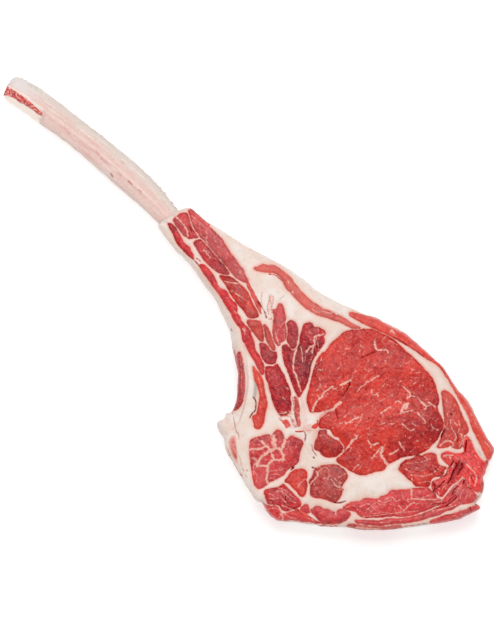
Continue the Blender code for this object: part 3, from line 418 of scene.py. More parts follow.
# Fat lines in the lean: half width in units, strength, then the line's own points
veins = (
    # eye, thin joining lines
    (0.5, 0.5, 410, 411, 416.7, 413.3, 423.3, 420, 428.3, 425, 439.2, 430),
    (0.6, 0.65, 407, 394, 412, 396.2, 417, 397, 420.5, 401, 425, 406.5, 429, 405, 435, 406.3),
    (0.5, 0.5, 391, 394.5, 386, 397.5, 379.5, 401), (0.5, 0.5, 405.8, 377.5, 411.7, 380.8, 416.7, 382.5),
    (0.4, 0.4, 411.7, 380.8, 416.7, 377.5), (0.4, 0.4, 415, 371.7, 419, 370),
    (0.5, 0.45, 355, 426.7, 358, 421, 362.5, 415), (0.45, 0.4, 380, 425, 386.7, 421.7),
    (0.45, 0.4, 330, 352, 333, 356, 332.5, 360), (0.45, 0.4, 341, 366, 345, 363.5),
    # fan
    (0.45, 0.5, 308.6, 353.9, 313.9, 346.8, 315.7, 341.4, 316.6, 337.9),
    (0.45, 0.5, 317.5, 341.4, 318.4, 348.6, 316.6, 353.9),
    (0.45, 0.45, 305.9, 350.4, 305, 359.3, 304, 364.6),
    (0.45, 0.45, 312.1, 355.7, 310.4, 361, 308.6, 363.7), (0.5, 0.5, 300, 344, 296.5, 341.5),
    (0.45, 0.45, 311, 339, 308, 342, 308.5, 346), (0.45, 0.4, 303, 369, 302, 376, 300.5, 383),
    (0.45, 0.4, 309, 368, 306.5, 375), (0.45, 0.5, 281.8, 323.6, 284.5, 332.5, 283.6, 341.4, 279, 346.8),
    (0.45, 0.5, 278.2, 328.9, 276.4, 337.9, 278, 342), (0.5, 0.6, 286.3, 342.3, 288, 346.8),
    (0.45, 0.4, 290, 356, 292, 362, 291.5, 370), (0.45, 0.4, 288.5, 333, 291, 338),
    # along the lower rim
    (0.55, 0.6, 274.7, 487, 284.4, 489.7, 292.8, 496.7),
    (0.5, 0.6, 281.7, 492.5, 288.6, 499.4, 295.6, 502.8), (0.5, 0.5, 267.8, 492.5, 276, 496.7),
    (0.5, 0.6, 267.8, 509, 276, 507.8, 281.7, 513, 279, 517.5),
    (0.6, 0.7, 281.7, 505, 295.6, 510.6, 305, 516, 315, 520.3),
    (0.55, 0.65, 359.4, 506.4, 367.8, 503.6, 373.3, 507.8, 370.6, 512),
    (0.55, 0.65, 384.4, 499.4, 391.4, 496.7, 395.6, 500.8, 399.7, 499.4),
    (0.55, 0.65, 398.3, 505, 401, 509.2, 398.3, 513.3),
    (0.55, 0.6, 406.7, 499.4, 417.8, 498, 428.9, 495.3),
    (0.5, 0.6, 362, 516, 376, 515.5, 390, 513.3, 404, 512, 417.8, 510.6),
    (0.5, 0.5, 345, 508, 351, 505, 358, 507), (0.5, 0.5, 375, 501, 380, 504, 386, 503.5),
    (0.5, 0.5, 408, 505, 414, 503, 422, 504),
    # marbled muscle
    (0.5, 0.6, 255.8, 466.7, 261, 466.2, 266.7, 465.8), (0.5, 0.6, 252, 452, 257, 450, 261, 447),
    (0.45, 0.5, 256, 438, 260, 441), (0.5, 0.5, 262, 437, 266, 441, 270, 446),
    (0.5, 0.6, 254, 470, 257, 476, 256, 482), (0.45, 0.5, 272, 471, 278, 470, 283, 465),
    (0.45, 0.5, 270, 478, 275, 476), (0.45, 0.5, 284, 450, 288, 447, 289, 441),
    # dark round muscle
    (0.55, 0.65, 316.4, 474.4, 320.6, 469.4, 326, 467.5, 330.3, 471.7),
    (0.5, 0.6, 323.3, 478.6, 331.7, 475.8, 337.2, 481.4),
    (0.55, 0.65, 334.4, 485.6, 341.4, 487, 342.8, 492.5), (0.5, 0.55, 313.6, 482.8, 316.4, 489.7),
    (0.5, 0.6, 326, 493.9, 331.7, 496.7, 335.8, 492.5), (0.5, 0.55, 338.6, 471.7, 341.4, 478.6),
    (0.45, 0.5, 322, 486, 326, 489, 325, 493),
    # lower centre
    (0.5, 0.6, 406.7, 463.3, 420.6, 462, 431.7, 457.8),
    (0.5, 0.6, 412.2, 474.4, 423.3, 475.8, 434.4, 471.7, 440, 466),
    (0.5, 0.55, 417.8, 482.8, 428.9, 481.4, 438.6, 482.8), (0.5, 0.6, 408, 480, 412.2, 485.6),
    (0.45, 0.5, 416, 467, 419, 470.5, 425, 470),
    # rib side and neck
    (0.5, 0.45, 264, 366, 268, 372, 270, 380), (0.45, 0.4, 272, 384, 277, 386),
    (0.45, 0.4, 266, 356, 262, 360), (0.45, 0.45, 199, 231, 204, 238, 209, 243),
    (0.45, 0.45, 204, 220, 208, 227, 213, 236, 219, 246), (0.4, 0.4, 223, 247, 229, 257),
    (0.45, 0.5, 213, 251, 219, 259, 225, 266), (0.45, 0.45, 205, 247, 209, 253),
    # eye, upper part
    (0.9, 0.8, 374.4, 341.8, 375.3, 346.8, 377.5, 350, 382.5, 350, 387, 350.5, 388, 352.7),
    (0.6, 0.5, 360.7, 341.4, 361.6, 345, 363.5, 347.7), (0.7, 0.5, 345.7, 337.3, 345.7, 341),
    (0.6, 0.4, 353.5, 336.4, 354, 339.5), (0.6, 0.35, 352.5, 347.7, 354.4, 345, 357, 343.2),
    (0.6, 0.55, 340.3, 363.2, 340.3, 366.4, 337, 369.5), (0.6, 0.4, 346.2, 368.6, 348, 365),
    (0.7, 0.6, 317, 369, 319.8, 369.5, 322, 370.5, 323, 368.6),
    (0.7, 0.6, 318.9, 377.3, 319.8, 381.4, 319.4, 386.8, 316.2, 391.4),
    (0.9, 0.85, 332.5, 386.4, 329.8, 388.6, 326.2, 390.5, 323.5, 393.2, 321.6, 396.8, 318.9, 398.6,
     316.2, 402.3, 314.4, 405.9, 313, 408.6, 312.4, 411),
    (0.6, 0.5, 322.5, 397.7, 326.2, 395.5, 329.8, 393.2),
    (0.7, 0.6, 337, 387.3, 334.4, 389, 332.5, 388.6),
    (0.9, 1, 340, 385, 343.5, 383.7, 347, 382, 350.3, 380.3),
    (0.7, 0.5, 312.5, 393.2, 312.1, 397.7, 310.7, 403.2),
    (0.7, 0.75, 357.5, 391.4, 359.8, 387.7, 362.5, 386, 365.3, 384, 366.6, 381.8, 369.8, 381.2,
     373.5, 378.4, 378, 375.8),
    (0.8, 0.8, 371.6, 389.5, 372.1, 394, 374.4, 395, 377, 393.2, 378.5, 392.2),
    (0.6, 0.7, 377, 394, 378, 396.6),
    (0.6, 0.55, 380.3, 401.4, 384.4, 398.6, 387, 397.7, 389, 395.5, 392.5, 394.3),
    (0.8, 0.8, 380.3, 413.6, 383.5, 411, 386.6, 409, 388, 407.3, 390, 407.2),
    (0.6, 0.6, 379.8, 424.5, 384.4, 422.7), (0.6, 0.5, 391.2, 424.5, 394.4, 422.7, 398, 420.5),
    (0.6, 0.5, 350.7, 408.6, 354.4, 406.8, 356.2, 405),
    (0.8, 0.8, 345.3, 423.4, 350.3, 421.4, 353.5, 419, 359.8, 417), (0.5, 0.5, 353.5, 417.7, 355.7, 414),
    (0.7, 0.6, 362.5, 413.2, 361.6, 417.7, 358.9, 422.3, 356.2, 426),
    (0.7, 0.55, 331.6, 428.6, 335.3, 426, 338.9, 423.6, 342.5, 422.7, 345.3, 421.8),
    (0.6, 0.5, 338.9, 422.3, 340.7, 419.5, 344.4, 416.8, 348.9, 413.2),
    (1.1, 1, 320, 416.8, 323.5, 413.3, 328, 411, 332.5, 409.6, 335.3, 406.8, 337.6, 404, 340.3, 402.3),
    (0.7, 0.55, 362.5, 369.5, 365.3, 369, 368, 371.2, 371.5, 370),
    (0.6, 0.55, 382, 340.7, 383.8, 338, 385, 336.8), (0.6, 0.5, 385.3, 343.2, 389, 341),
    (0.6, 0.55, 389.8, 340.5, 393.5, 343.2, 397, 344.6),
    # eye, lower part
    (1, 0.9, 350.3, 443.2, 353, 439.7, 356.2, 438.6, 356.4, 436),
    (0.8, 0.85, 350, 443.6, 347, 448, 343.7, 451.2, 340.7, 454.2, 337, 456.6),
    (0.8, 0.8, 368, 440.5, 369.8, 443.6, 373.5, 444.5, 378, 443), (0.6, 0.7, 371.2, 444.5, 370.3, 447.5),
    (0.8, 0.75, 371.6, 458.2, 375.3, 454, 378, 450.5, 380.5, 446.8),
    (1.1, 0.95, 381.7, 446.5, 381.5, 450.5, 380.6, 453.8, 382.5, 457.5, 385.3, 461.3, 387.2, 464.8),
    (0.8, 0.75, 389.8, 454, 393.5, 452.3, 398, 449.7), (0.7, 0.6, 352.5, 470.5, 356.2, 466, 358.9, 464),
    (0.9, 0.75, 399, 442, 401, 446, 404, 450),
    # eye, right part
    (0.9, 0.8, 402, 386, 408, 391, 410, 395.5, 407, 398), (0.7, 0.75, 410, 395.5, 417, 397),
    (0.7, 0.6, 416, 373, 417.7, 372.2, 420, 372.4), (0.7, 0.7, 413, 384, 418, 381),
    (0.9, 0.8, 420, 400.5, 422.5, 403, 426, 407, 424, 409.5),
    (0.9, 0.85, 428.5, 402.5, 431.5, 404.5, 435, 407), (0.7, 0.7, 426, 406.8, 430, 405.3),
    (1.2, 0.95, 401.5, 411, 404, 405.5, 407.5, 403.5, 405, 408), (0.7, 0.65, 400, 413, 413, 410),
    (0.7, 0.7, 417, 412, 421, 416.5, 425, 421.5, 424.3, 423.3),
    (0.7, 0.7, 402, 424, 406, 427.5, 410.5, 430.5, 414, 429), (0.6, 0.6, 412, 423, 416, 426),
    (0.7, 0.65, 430.5, 423.5, 432.5, 427.5, 437, 430), (0.8, 0.75, 395, 402, 398, 401, 401, 403),
    (0.6, 0.5, 411.5, 357.5, 409, 361.5, 405, 364),
    # inner corner and dark round
    (0.5, 0.6, 319, 436, 322, 435, 325.8, 434.7), (0.5, 0.4, 331.6, 453.6, 334.4, 451.4),
    (0.6, 0.5, 320.3, 471, 323.7, 471),
    (0.8, 0.7, 316.7, 471.3, 317.3, 475.7, 315.3, 478.3, 312, 481.7, 310.4, 484.5),
    (0.6, 0.6, 328.7, 471, 328.7, 475, 327.3, 479),
    (0.6, 0.6, 331.3, 478.3, 332.7, 481.7, 334.7, 483.7, 336, 486.3, 339.3, 487.7),
    (0.6, 0.55, 342.7, 481.7, 339.3, 484.3, 336.7, 488.3, 338, 489.7, 341, 489),
    # small round and lower left
    (0.6, 0.6, 298, 487.3, 299.3, 484, 302.7, 480.7, 305.3, 478.7),
    (0.6, 0.6, 275.3, 492, 280, 490.7, 284, 492.7, 287.3, 496, 290.7, 498.7),
    (0.6, 0.55, 270, 498, 274.7, 498.7, 280, 497.3, 282.7, 499.3, 286, 502.7, 288.7, 505.3),
    (0.9, 0.7, 280.5, 513.5, 283, 516.5, 282, 520), (0.7, 0.6, 285, 514, 290, 517, 296, 518.6),
    # marbled muscle
    (1.1, 0.9, 262, 441, 265, 444.7, 268, 447.3, 270, 450),
    (1, 0.85, 264.7, 446, 261, 448.5, 256, 448.9, 250, 449), (1.7, 1, 273, 436, 274.5, 442.7, 275.3, 448),
    (1.3, 0.95, 270, 450, 276, 448.6, 281.3, 448.7, 282.7, 446.7, 284.6, 440),
    (1.2, 0.95, 270.5, 449.5, 272, 454.7, 273.7, 459.8),
    (1.2, 0.9, 269.5, 450, 266.7, 452.7, 263.3, 455.3, 260.7, 458, 258.7, 460.7, 256.5, 465),
    (1.1, 0.85, 256.7, 466, 262, 465.3, 267.3, 465.3),
    (1.2, 0.9, 267.3, 465.3, 268, 470, 267.3, 474, 266.3, 479, 267.3, 483),
    (1.2, 0.9, 267.3, 465.3, 269.3, 462.7, 273.3, 460, 281, 459.5),
    (1.3, 0.9, 281.3, 449.3, 282, 452.7, 283.3, 456, 282.7, 459.5), (0.6, 0.6, 254.5, 444, 259.5, 444.8),
    (0.6, 0.6, 270.3, 475.3, 275, 474, 280, 474.7),
    (1, 0.6, 251, 458, 254, 459, 256, 462.5, 253.5, 466.5, 253.5, 474),
    (0.6, 0.45, 270, 471, 274, 470, 280, 470.3, 283.5, 468), (0.5, 0.4, 291, 449, 292.5, 454),
    (0.6, 0.5, 252, 451.5, 254.3, 455, 256.5, 459), (0.6, 0.5, 285, 460, 288, 463.5, 289, 467),
    # rib side and fan
    (0.7, 0.6, 285, 386.7, 288.6, 389), (0.8, 0.55, 282.5, 397.5, 285.8, 400),
    (1.2, 0.6, 279, 413.5, 284, 413, 289, 411.3),
    (0.8, 0.85, 299.5, 329, 298.9, 336, 297.9, 343, 295.8, 350.8, 293.3, 361.7, 293.8, 370.8,
     295.8, 375, 298.3, 383.3, 300.8, 391), (0.7, 0.75, 300.6, 346.7, 302.1, 353.3, 302.5, 361.7),
    (0.6, 0.5, 305.5, 355, 304.8, 362), (0.8, 0.8, 314.2, 345, 310, 347.5, 306.7, 351.7),
    (0.7, 0.7, 313.3, 346.7, 312.1, 353.3), (0.6, 0.6, 308.3, 331.7, 312.5, 334),
    (0.8, 0.85, 314.6, 345, 314.2, 338.3, 316.7, 335.8, 320.8, 335, 324, 334),
    (0.6, 0.6, 280.8, 326.7, 282.5, 323.3, 284.8, 322.3),
    (0.6, 0.65, 275, 332.5, 276.7, 336.7, 278.3, 341.7, 279.2, 345),
    # cap
    (0.8, 0.7, 450, 420, 450.5, 426, 453, 431, 456, 436, 454.3, 441, 452, 446.5),
    (0.6, 0.6, 450, 417, 454, 422, 457, 425.7),
    (0.6, 0.65, 458, 421, 459.5, 426, 458, 431, 457, 432.7, 461, 434),
    (0.8, 0.7, 461, 434, 462, 438, 461.3, 443, 459, 447.5), (0.7, 0.6, 444.5, 426, 447.3, 428.7),
    (0.9, 0.75, 439.5, 446, 444, 442, 449, 440.7, 453, 443), (0.6, 0.5, 446, 399, 447.5, 406),
    (0.5, 0.5, 445.6, 433, 445.6, 436.5), (0.5, 0.5, 449.4, 434.5, 448, 438, 446, 441),
    (0.6, 0.55, 447, 413, 447.6, 420, 447, 425), (0.5, 0.4, 452, 409, 454.5, 412.5),
    # lower right
    (0.7, 0.7, 462.3, 476.3, 459, 480, 455, 482.7, 451.7, 485.3, 448.3, 490, 444.3, 494.7),
    (0.7, 0.75, 466, 463.5, 469, 467, 472, 470, 474.5, 473, 476.3, 477, 475.5, 482, 474.5, 485.5),
    (0.5, 0.6, 469.5, 476, 469, 480, 470.5, 484), (0.5, 0.6, 466.5, 477, 466.5, 482, 467.5, 486),
    (0.5, 0.5, 473, 477, 472.5, 481), (0.5, 0.6, 459, 482, 455.5, 485.5, 453, 488),
    (0.5, 0.6, 461.5, 484, 458.5, 488.5, 456, 493), (0.5, 0.6, 464, 488, 461, 493, 459.5, 499),
    (0.5, 0.6, 456.5, 499.5, 453, 502.5, 449, 505),
    (0.6, 0.7, 455, 505, 447, 507.6, 438, 509.6, 430, 511), (0.5, 0.6, 443, 500.5, 438, 501.7, 431, 502),
    (0.5, 0.6, 446, 484, 442.5, 488, 440.5, 492), (0.5, 0.5, 437, 482.5, 436, 486, 438, 489),
    (0.5, 0.6, 468, 490.5, 466.5, 495, 465, 499), (0.5, 0.5, 470, 493, 469, 498),
    (0.6, 0.6, 450, 460, 453, 463, 452, 467), (0.5, 0.5, 420, 504, 428, 503.4, 436, 505),
    (0.5, 0.5, 402, 494, 404, 499, 409, 502), (0.5, 0.5, 372, 513.5, 384, 512.5, 394, 513.4),
    (0.6, 0.6, 378, 500.5, 384, 502, 391, 500), (0.8, 0.7, 442.5, 457, 446, 455, 452, 455.3),
    (0.6, 0.4, 455, 458, 462, 461, 468, 459.5),
    # lower centre and the layers along the bottom
    (0.7, 0.6, 411.5, 474.7, 411.5, 481), (0.6, 0.6, 405.7, 468.7, 408.3, 470.7, 411.7, 468.7),
    (0.7, 0.75, 411, 489.5, 411.3, 495.3, 413, 498.7, 425, 499.2, 436.3, 499.3),
    (0.7, 0.7, 400.3, 513, 403.7, 510, 407, 506.7, 411, 503.3, 414.3, 502.3),
    (0.6, 0.6, 435, 510.2, 441.7, 508.9, 448.3, 507.2), (0.6, 0.5, 380, 522.4, 388.7, 522),
    (0.8, 0.7, 335.5, 511.5, 335.5, 515.5), (0.6, 0.5, 372, 504, 378, 508, 380, 513),
    (0.7, 0.6, 457, 486.7, 453, 490, 451.7, 493.3), (0.6, 0.5, 390, 501, 394, 505, 395, 511),
    (0.9, 0.7, 356, 527.2, 366, 528.3, 380, 529), (0.6, 0.5, 455, 517, 463, 513.5),
    # strips along the upper edge
    # the second line here is partly a fat line, partly a painted highlight along the rounded outer strip
    (0.9, 0.8, 390, 332.3, 392, 330.5, 394, 333.5), (0.8, 0.45, 470, 412, 474, 421, 478, 430),
    (0.7, 0.6, 312.5, 309.7, 318, 312, 324, 311.8, 329, 313.2, 332, 312.8),
    (0.9, 0.75, 288.3, 281.5, 288.5, 283.5), (0.9, 0.7, 292.3, 291.5, 293, 293.5),
    (0.8, 0.6, 484.5, 441.5, 488.5, 446, 490.5, 450), (0.6, 0.4, 357, 317, 366, 321.5),
    # neck
    (0.7, 0.9, 176.5, 216.8, 180.5, 221, 184.5, 226, 187, 230, 187.6, 236),
    (0.7, 0.7, 204, 249.5, 206, 252, 209.5, 257.5), (0.8, 0.7, 203.5, 250.5, 206.5, 251.3),
    (0.5, 0.7, 212, 251, 217, 256, 222, 262.5), (0.6, 0.6, 207.5, 236, 205.8, 240, 208, 244),
    (0.6, 0.5, 196, 224, 194.5, 220, 195.3, 215.5), (0.5, 0.45, 222, 248.5, 226, 256),
    (0.6, 0.5, 232, 262, 236.5, 265.5), (0.7, 0.5, 200, 221, 199, 224.5),
    # rib flesh
    (0.7, 0.7, 224.5, 281.3, 230, 282.4, 238, 283.6),
    (0.6, 0.65, 232, 290.5, 238, 295, 244, 299.5, 248.3, 301.5),
    (0.9, 0.8, 243, 329, 244.6, 331, 244.8, 334), (0.7, 0.6, 234.6, 311.5, 237, 313.6),
    (0.6, 0.5, 257, 373, 259.5, 382, 261.5, 392), (0.6, 0.5, 240.5, 360, 241.6, 372, 241.4, 388),
)
veinLook = {"width": 1.38, "waver": 0.40, "breaks": 0.35}

# Short flecks of fat strewn along the grain of the bigger muscles: how many to a 1000
# square units, longest in units, half width, strongest, grain direction in degrees
flecks = {
    "eye": (48, 5, 0.43, 0.6, 47), "cap": (18, 3, 0.4, 0.5, 105), "marbled": (46, 3.2, 0.45, 0.6, 70),
    "lower_centre": (34, 3.6, 0.45, 0.58, 150), "lower_right": (64, 3.4, 0.5, 0.6, 122),
    "bottom_long": (38, 5, 0.45, 0.58, 15), "dark_round": (46, 3.4, 0.45, 0.6, 5),
    "lower_left": (34, 3.4, 0.45, 0.58, 140), "small_round": (14, 2.4, 0.4, 0.45, 60),
    "fan": (28, 3.6, 0.4, 0.55, 105), "rib_side": (22, 3, 0.4, 0.5, 110),
    "neck_inner": (40, 3, 0.42, 0.55, 130), "long_rib": (34, 3, 0.42, 0.5, 122),
    "neck_left": (30, 3, 0.42, 0.5, 125), "bottom_layer": (34, 5, 0.45, 0.55, 12),
    "upper_strip": (30, 4, 0.42, 0.5, 140), "edge_strip": (34, 4, 0.45, 0.5, 20),
    "neck_outer": (60, 3.6, 0.45, 0.62, 130), "upper_rib": (34, 3.2, 0.42, 0.52, 135),
    "outer_strip": (9, 3.2, 0.4, 0.4, 125), "bottom_short": (16, 3, 0.4, 0.45, 10),
    "inner_corner": (9, 2.4, 0.4, 0.35, 45),
}

# Dark strokes between the fibres, given as the flecks are
fibreLines = {
    "eye": (9, 5, 0.5, 0.3, 47), "cap": (26, 5, 0.5, 0.45, 110), "marbled": (26, 3.2, 0.5, 0.42, 100),
    "lower_centre": (60, 4.6, 0.55, 0.56, 150), "lower_right": (34, 5, 0.5, 0.45, 122),
    "bottom_long": (40, 6, 0.5, 0.46, 15), "bottom_layer": (30, 6, 0.5, 0.45, 20),
    "edge_strip": (26, 5, 0.5, 0.45, 25), "dark_round": (34, 3.6, 0.5, 0.45, 3),
    "lower_left": (28, 4, 0.5, 0.45, 145), "small_round": (10, 3, 0.5, 0.3, 60),
    "fan": (26, 4.5, 0.5, 0.42, 105), "fan_left": (22, 3.6, 0.5, 0.35, 95),
    "rib_side": (26, 4, 0.5, 0.42, 118), "neck_outer": (30, 5, 0.5, 0.42, 128),
    "neck_inner": (30, 5, 0.5, 0.4, 130), "neck_left": (30, 4, 0.5, 0.45, 125),
    "neck_centre": (30, 4, 0.5, 0.35, 120), "upper_rib": (30, 5, 0.5, 0.4, 128),
    "long_rib": (26, 5, 0.5, 0.36, 122), "inner_long": (20, 5, 0.5, 0.36, 95),
    "outer_strip": (12, 6, 0.5, 0.3, 140), "upper_strip": (14, 5, 0.5, 0.25, 142),
    "corner_strip": (26, 4, 0.5, 0.45, 160), "bottom_short": (26, 4, 0.5, 0.42, 170),
    "inner_corner": (16, 3, 0.5, 0.3, 30), "side_strip": (26, 5, 0.5, 0.4, 92),
    "edge_layer": (40, 5, 0.55, 0.6, 0),
}

# Clefts and cracks with painted shade in them: half width in units, depth in metres, darkness of the
# shade, points
clefts = (
    (0.5, 0.0014, 0.62, 253.4, 397.5, 255.6, 400.8, 255.8, 406.7, 255, 410.8, 252, 413.3, 250, 418),
    (0.6, 0.0012, 0.6, 258.3, 301.5, 261.7, 306.7, 264.2, 311, 266.7, 318),
    (0.6, 0.0014, 0.66, 456.5, 463, 455.5, 467, 453.5, 470.5, 451.5, 475, 450, 479, 447.5, 483),
    (0.6, 0.0012, 0.7, 463, 466.5, 460.5, 469.5, 458.5, 472.5, 457, 475),
    (0.6, 0.001, 0.72, 453.3, 460.5, 452, 463, 450.5, 465.5),
    (3.4, 0, 0.42, 461.5, 464, 458, 468, 454.5, 473.5, 451, 478),
    (0.5, 0.0008, 0.6, 459, 461, 458, 464, 456.5, 466.5, 455.5, 469),
    (0.8, 0.0012, 0.85, 463.9, 479.8, 463.2, 483), (0.6, 0.0012, 0.8, 461.5, 463.5, 461.8, 466),
    (0.5, 0.0008, 0.7, 448.5, 466.5, 446.8, 471, 445, 475, 440, 477.5),
    (0.5, 0.0008, 0.7, 457.5, 486, 454.5, 488.5, 452.6, 491, 452, 494.5),
    (0.5, 0.0008, 0.65, 456.3, 496.5, 453.5, 499.5, 450.5, 502, 446, 505.5),
    (0.5, 0.0006, 0.6, 454.5, 495.5, 451, 498.5, 448, 501.5),
    (0.5, 0.0006, 0.5, 430, 505, 437, 503.8, 446, 502.5),
    (0.5, 0.0006, 0.5, 434, 508.2, 441, 507, 447, 505.5),
    (0.5, 0.0008, 0.7, 438, 487.5, 441, 484, 444, 480.5), (0.5, 0.0006, 0.6, 436, 489, 438, 485.5),
    (0.6, 0.0008, 0.7, 432, 481.5, 434, 484.5, 434.5, 488.5, 433, 491.5),
    (0.5, 0.0006, 0.6, 434.5, 468, 437, 470.5), (0.5, 0.0006, 0.6, 470.5, 476, 472, 480, 473.5, 482.5),
    (0.5, 0.0006, 0.6, 468.5, 487, 471, 488.5), (0.5, 0.0006, 0.5, 472, 475.5, 474.5, 476),
    (0.5, 0.0006, 0.6, 470, 507, 470.7, 511), (0.5, 0.0006, 0.5, 440.5, 517.5, 447, 515, 453, 514.5),
    (0.5, 0.0006, 0.5, 291.8, 397, 293.3, 402.5, 294, 410, 295.3, 416.5, 297, 423),
    (0.55, 0.001, 0.62, 349.7, 382, 348.9, 386, 347, 389.5),
    (0.5, 0.0006, 0.4, 347, 389.5, 344.4, 393.2, 341.4, 397),
    (0.5, 0.0006, 0.6, 335.3, 410.5, 336.6, 414, 337.4, 418.5),
    (0.65, 0.0012, 0.85, 440.9, 437, 442.2, 433.4, 443.8, 430.2),
    (0.6, 0.0012, 0.8, 466.3, 440.5, 465.6, 445, 464.8, 451.5),
    (0.5, 0.0006, 0.7, 456.4, 434.7, 457.8, 438, 457.2, 442),
    (0.6, 0.0007, 0.9, 450.2, 413.5, 451.6, 415), (0.45, 0.0005, 0.5, 311.6, 445, 313, 451, 316.5, 455.4),
    (0.6, 0.0006, 0.8, 313.5, 457, 314, 458), (0.5, 0.0006, 0.6, 304.5, 432, 305.6, 436, 304.5, 441),
    (0.6, 0.0006, 0.7, 312.3, 467.4, 315.6, 468.4), (1.1, 0.0015, 1, 291.7, 469.2, 293.2, 467.7),
    (0.5, 0.0005, 0.6, 320.6, 449.5, 322, 453),
    (0.5, 0.0005, 0.5, 361.6, 357.7, 364.4, 356.4, 369.8, 354, 375.3, 351.4),
    (0.5, 0.0005, 0.55, 365.7, 387.5, 366.3, 390), (0.5, 0.0005, 0.5, 343, 374.6, 343.5, 378),
    (0.5, 0.0005, 0.45, 368, 417.7, 369.4, 419.8), (0.6, 0.0007, 0.7, 334, 502.4, 340, 502.4, 345.3, 501),
    (0.5, 0.0006, 0.55, 413.7, 457, 417.2, 455, 420.5, 455.4), (0.5, 0.0006, 0.5, 400.2, 464.8, 406, 460),
    (0.6, 0.0006, 0.55, 430.3, 471.6, 430.4, 473), (0.6, 0.0006, 0.8, 285.3, 495.6, 285.6, 500.3),
    (0.5, 0.0006, 0.5, 169, 226.5, 173.5, 235, 177.5, 243.5, 186, 253, 193, 259, 197, 263.5, 201, 268),
    (0.4, 0.0005, 0.55, 213.5, 251.5, 218, 256.5, 222.5, 262.5, 226, 267.5),
    (0.5, 0.0005, 0.5, 189, 226, 192, 231), (0.5, 0.0006, 0.5, 194, 243.7, 196, 240.8, 201, 239.8),
    (0.5, 0.0006, 0.5, 220, 275.8, 226, 277, 232, 278),
    (0.5, 0.0006, 0.45, 393, 337.3, 400, 341, 408, 345.8, 416, 351, 424, 357),
    (0.5, 0.0006, 0.4, 232.5, 411.5, 236, 430.7, 238, 433, 239, 439),
    (0.7, 0.0008, 0.9, 231, 329.4, 231.6, 330.8),
)

# Lines of lean and stain on the fat, and grey lines of painted shade: half width, strength, points
fatMarks = {
    "lean": (
        (0.6, 0.55, 227.5, 447, 231, 458, 236, 467, 242, 476.5),
        (0.5, 0.45, 239, 455, 241, 462, 243.5, 470, 247, 477),
        (0.5, 0.65, 278, 417.5, 283, 421, 287, 426, 292, 428),
        (0.45, 0.55, 283, 412.5, 288, 414.5, 292, 413.5), (0.45, 0.5, 306, 431, 311, 430, 317, 431),
        (0.4, 0.5, 318, 421, 324, 417), (2.4, 1, 486.5, 462, 485.5, 469, 484, 477, 482.5, 485, 482, 491),
        (0.6, 0.6, 479.5, 495, 476, 499, 472, 502), (0.5, 0.5, 482, 498, 478, 503),
        (0.5, 0.5, 474, 506, 466, 509, 458, 510),
        (0.45, 0.75, 270.5, 295.5, 269, 301, 267.5, 308, 268.5, 314),
        (0.45, 0.65, 273.2, 296, 273, 302, 271.8, 309, 271, 315),
        (0.4, 0.65, 269.8, 300, 271.5, 305, 270, 310), (0.4, 0.5, 262, 292.5, 261, 299, 262.5, 305),
        (0.9, 0.85, 190.3, 208.2, 196, 212.4, 203, 219.4, 209, 224.8),
        (0.8, 0.8, 196.7, 258.3, 198.5, 259.2, 200, 260.8), (0.7, 0.8, 195, 261, 198, 264, 201, 267),
        (0.7, 0.7, 269.2, 274.4, 275, 275.2, 280, 279.2, 284.2, 282.8),
        (0.7, 0.9, 317.3, 420.2, 317.7, 422), (0.8, 0.9, 295, 431.2, 299, 431.7, 303, 431),
        (0.7, 0.6, 246.5, 469.5, 247.5, 471.5), (0.6, 0.7, 241.5, 474.5, 243, 476.5),
        (0.6, 0.5, 224.5, 430, 226.5, 434), (0.7, 0.6, 271.5, 318, 270.8, 320, 268.3, 318.5),
        (0.7, 0.5, 471, 447, 476, 452), (0.8, 0.6, 281, 416.3, 286, 415.7, 291, 416.8),
        (0.8, 0.7, 318, 526, 324, 525.3, 330, 526.4, 338, 525.8),
        (0.7, 0.6, 404, 526.2, 416, 524.8, 428, 522.9),
    ),
    # painted shade: grey along the folds of the fat and inside its rounded outer edge
    "grey": (
        (0.7, 0.5, 164, 222, 166.5, 221, 168.5, 223.5),
        (1.8, 0.85, 253.8, 371, 255, 377.5, 255.6, 385.8, 254.8, 396),
        (0.6, 0.6, 246, 366, 247.6, 380, 245.4, 400, 240.5, 418),
        (0.7, 0.5, 218, 302, 227, 321, 232, 338, 235.5, 352), (0.7, 0.5, 280, 299.2, 284.2, 295.8),
        (0.7, 0.6, 477.7, 449.5, 480.5, 455), (1, 0.45, 447.5, 504, 453, 499.5, 456, 494),
    ),
    "stain": (
        (0.8, 0.7, 240.6, 458, 241.2, 465),
        (0.6, 0.8, 243.5, 345, 247, 362, 248.5, 380, 246, 400, 240, 420, 232, 430),
        (0.9, 0.8, 262, 292, 261, 302), (1.1, 0.7, 441, 498.5, 447, 500, 451, 496.5),
    ),
}

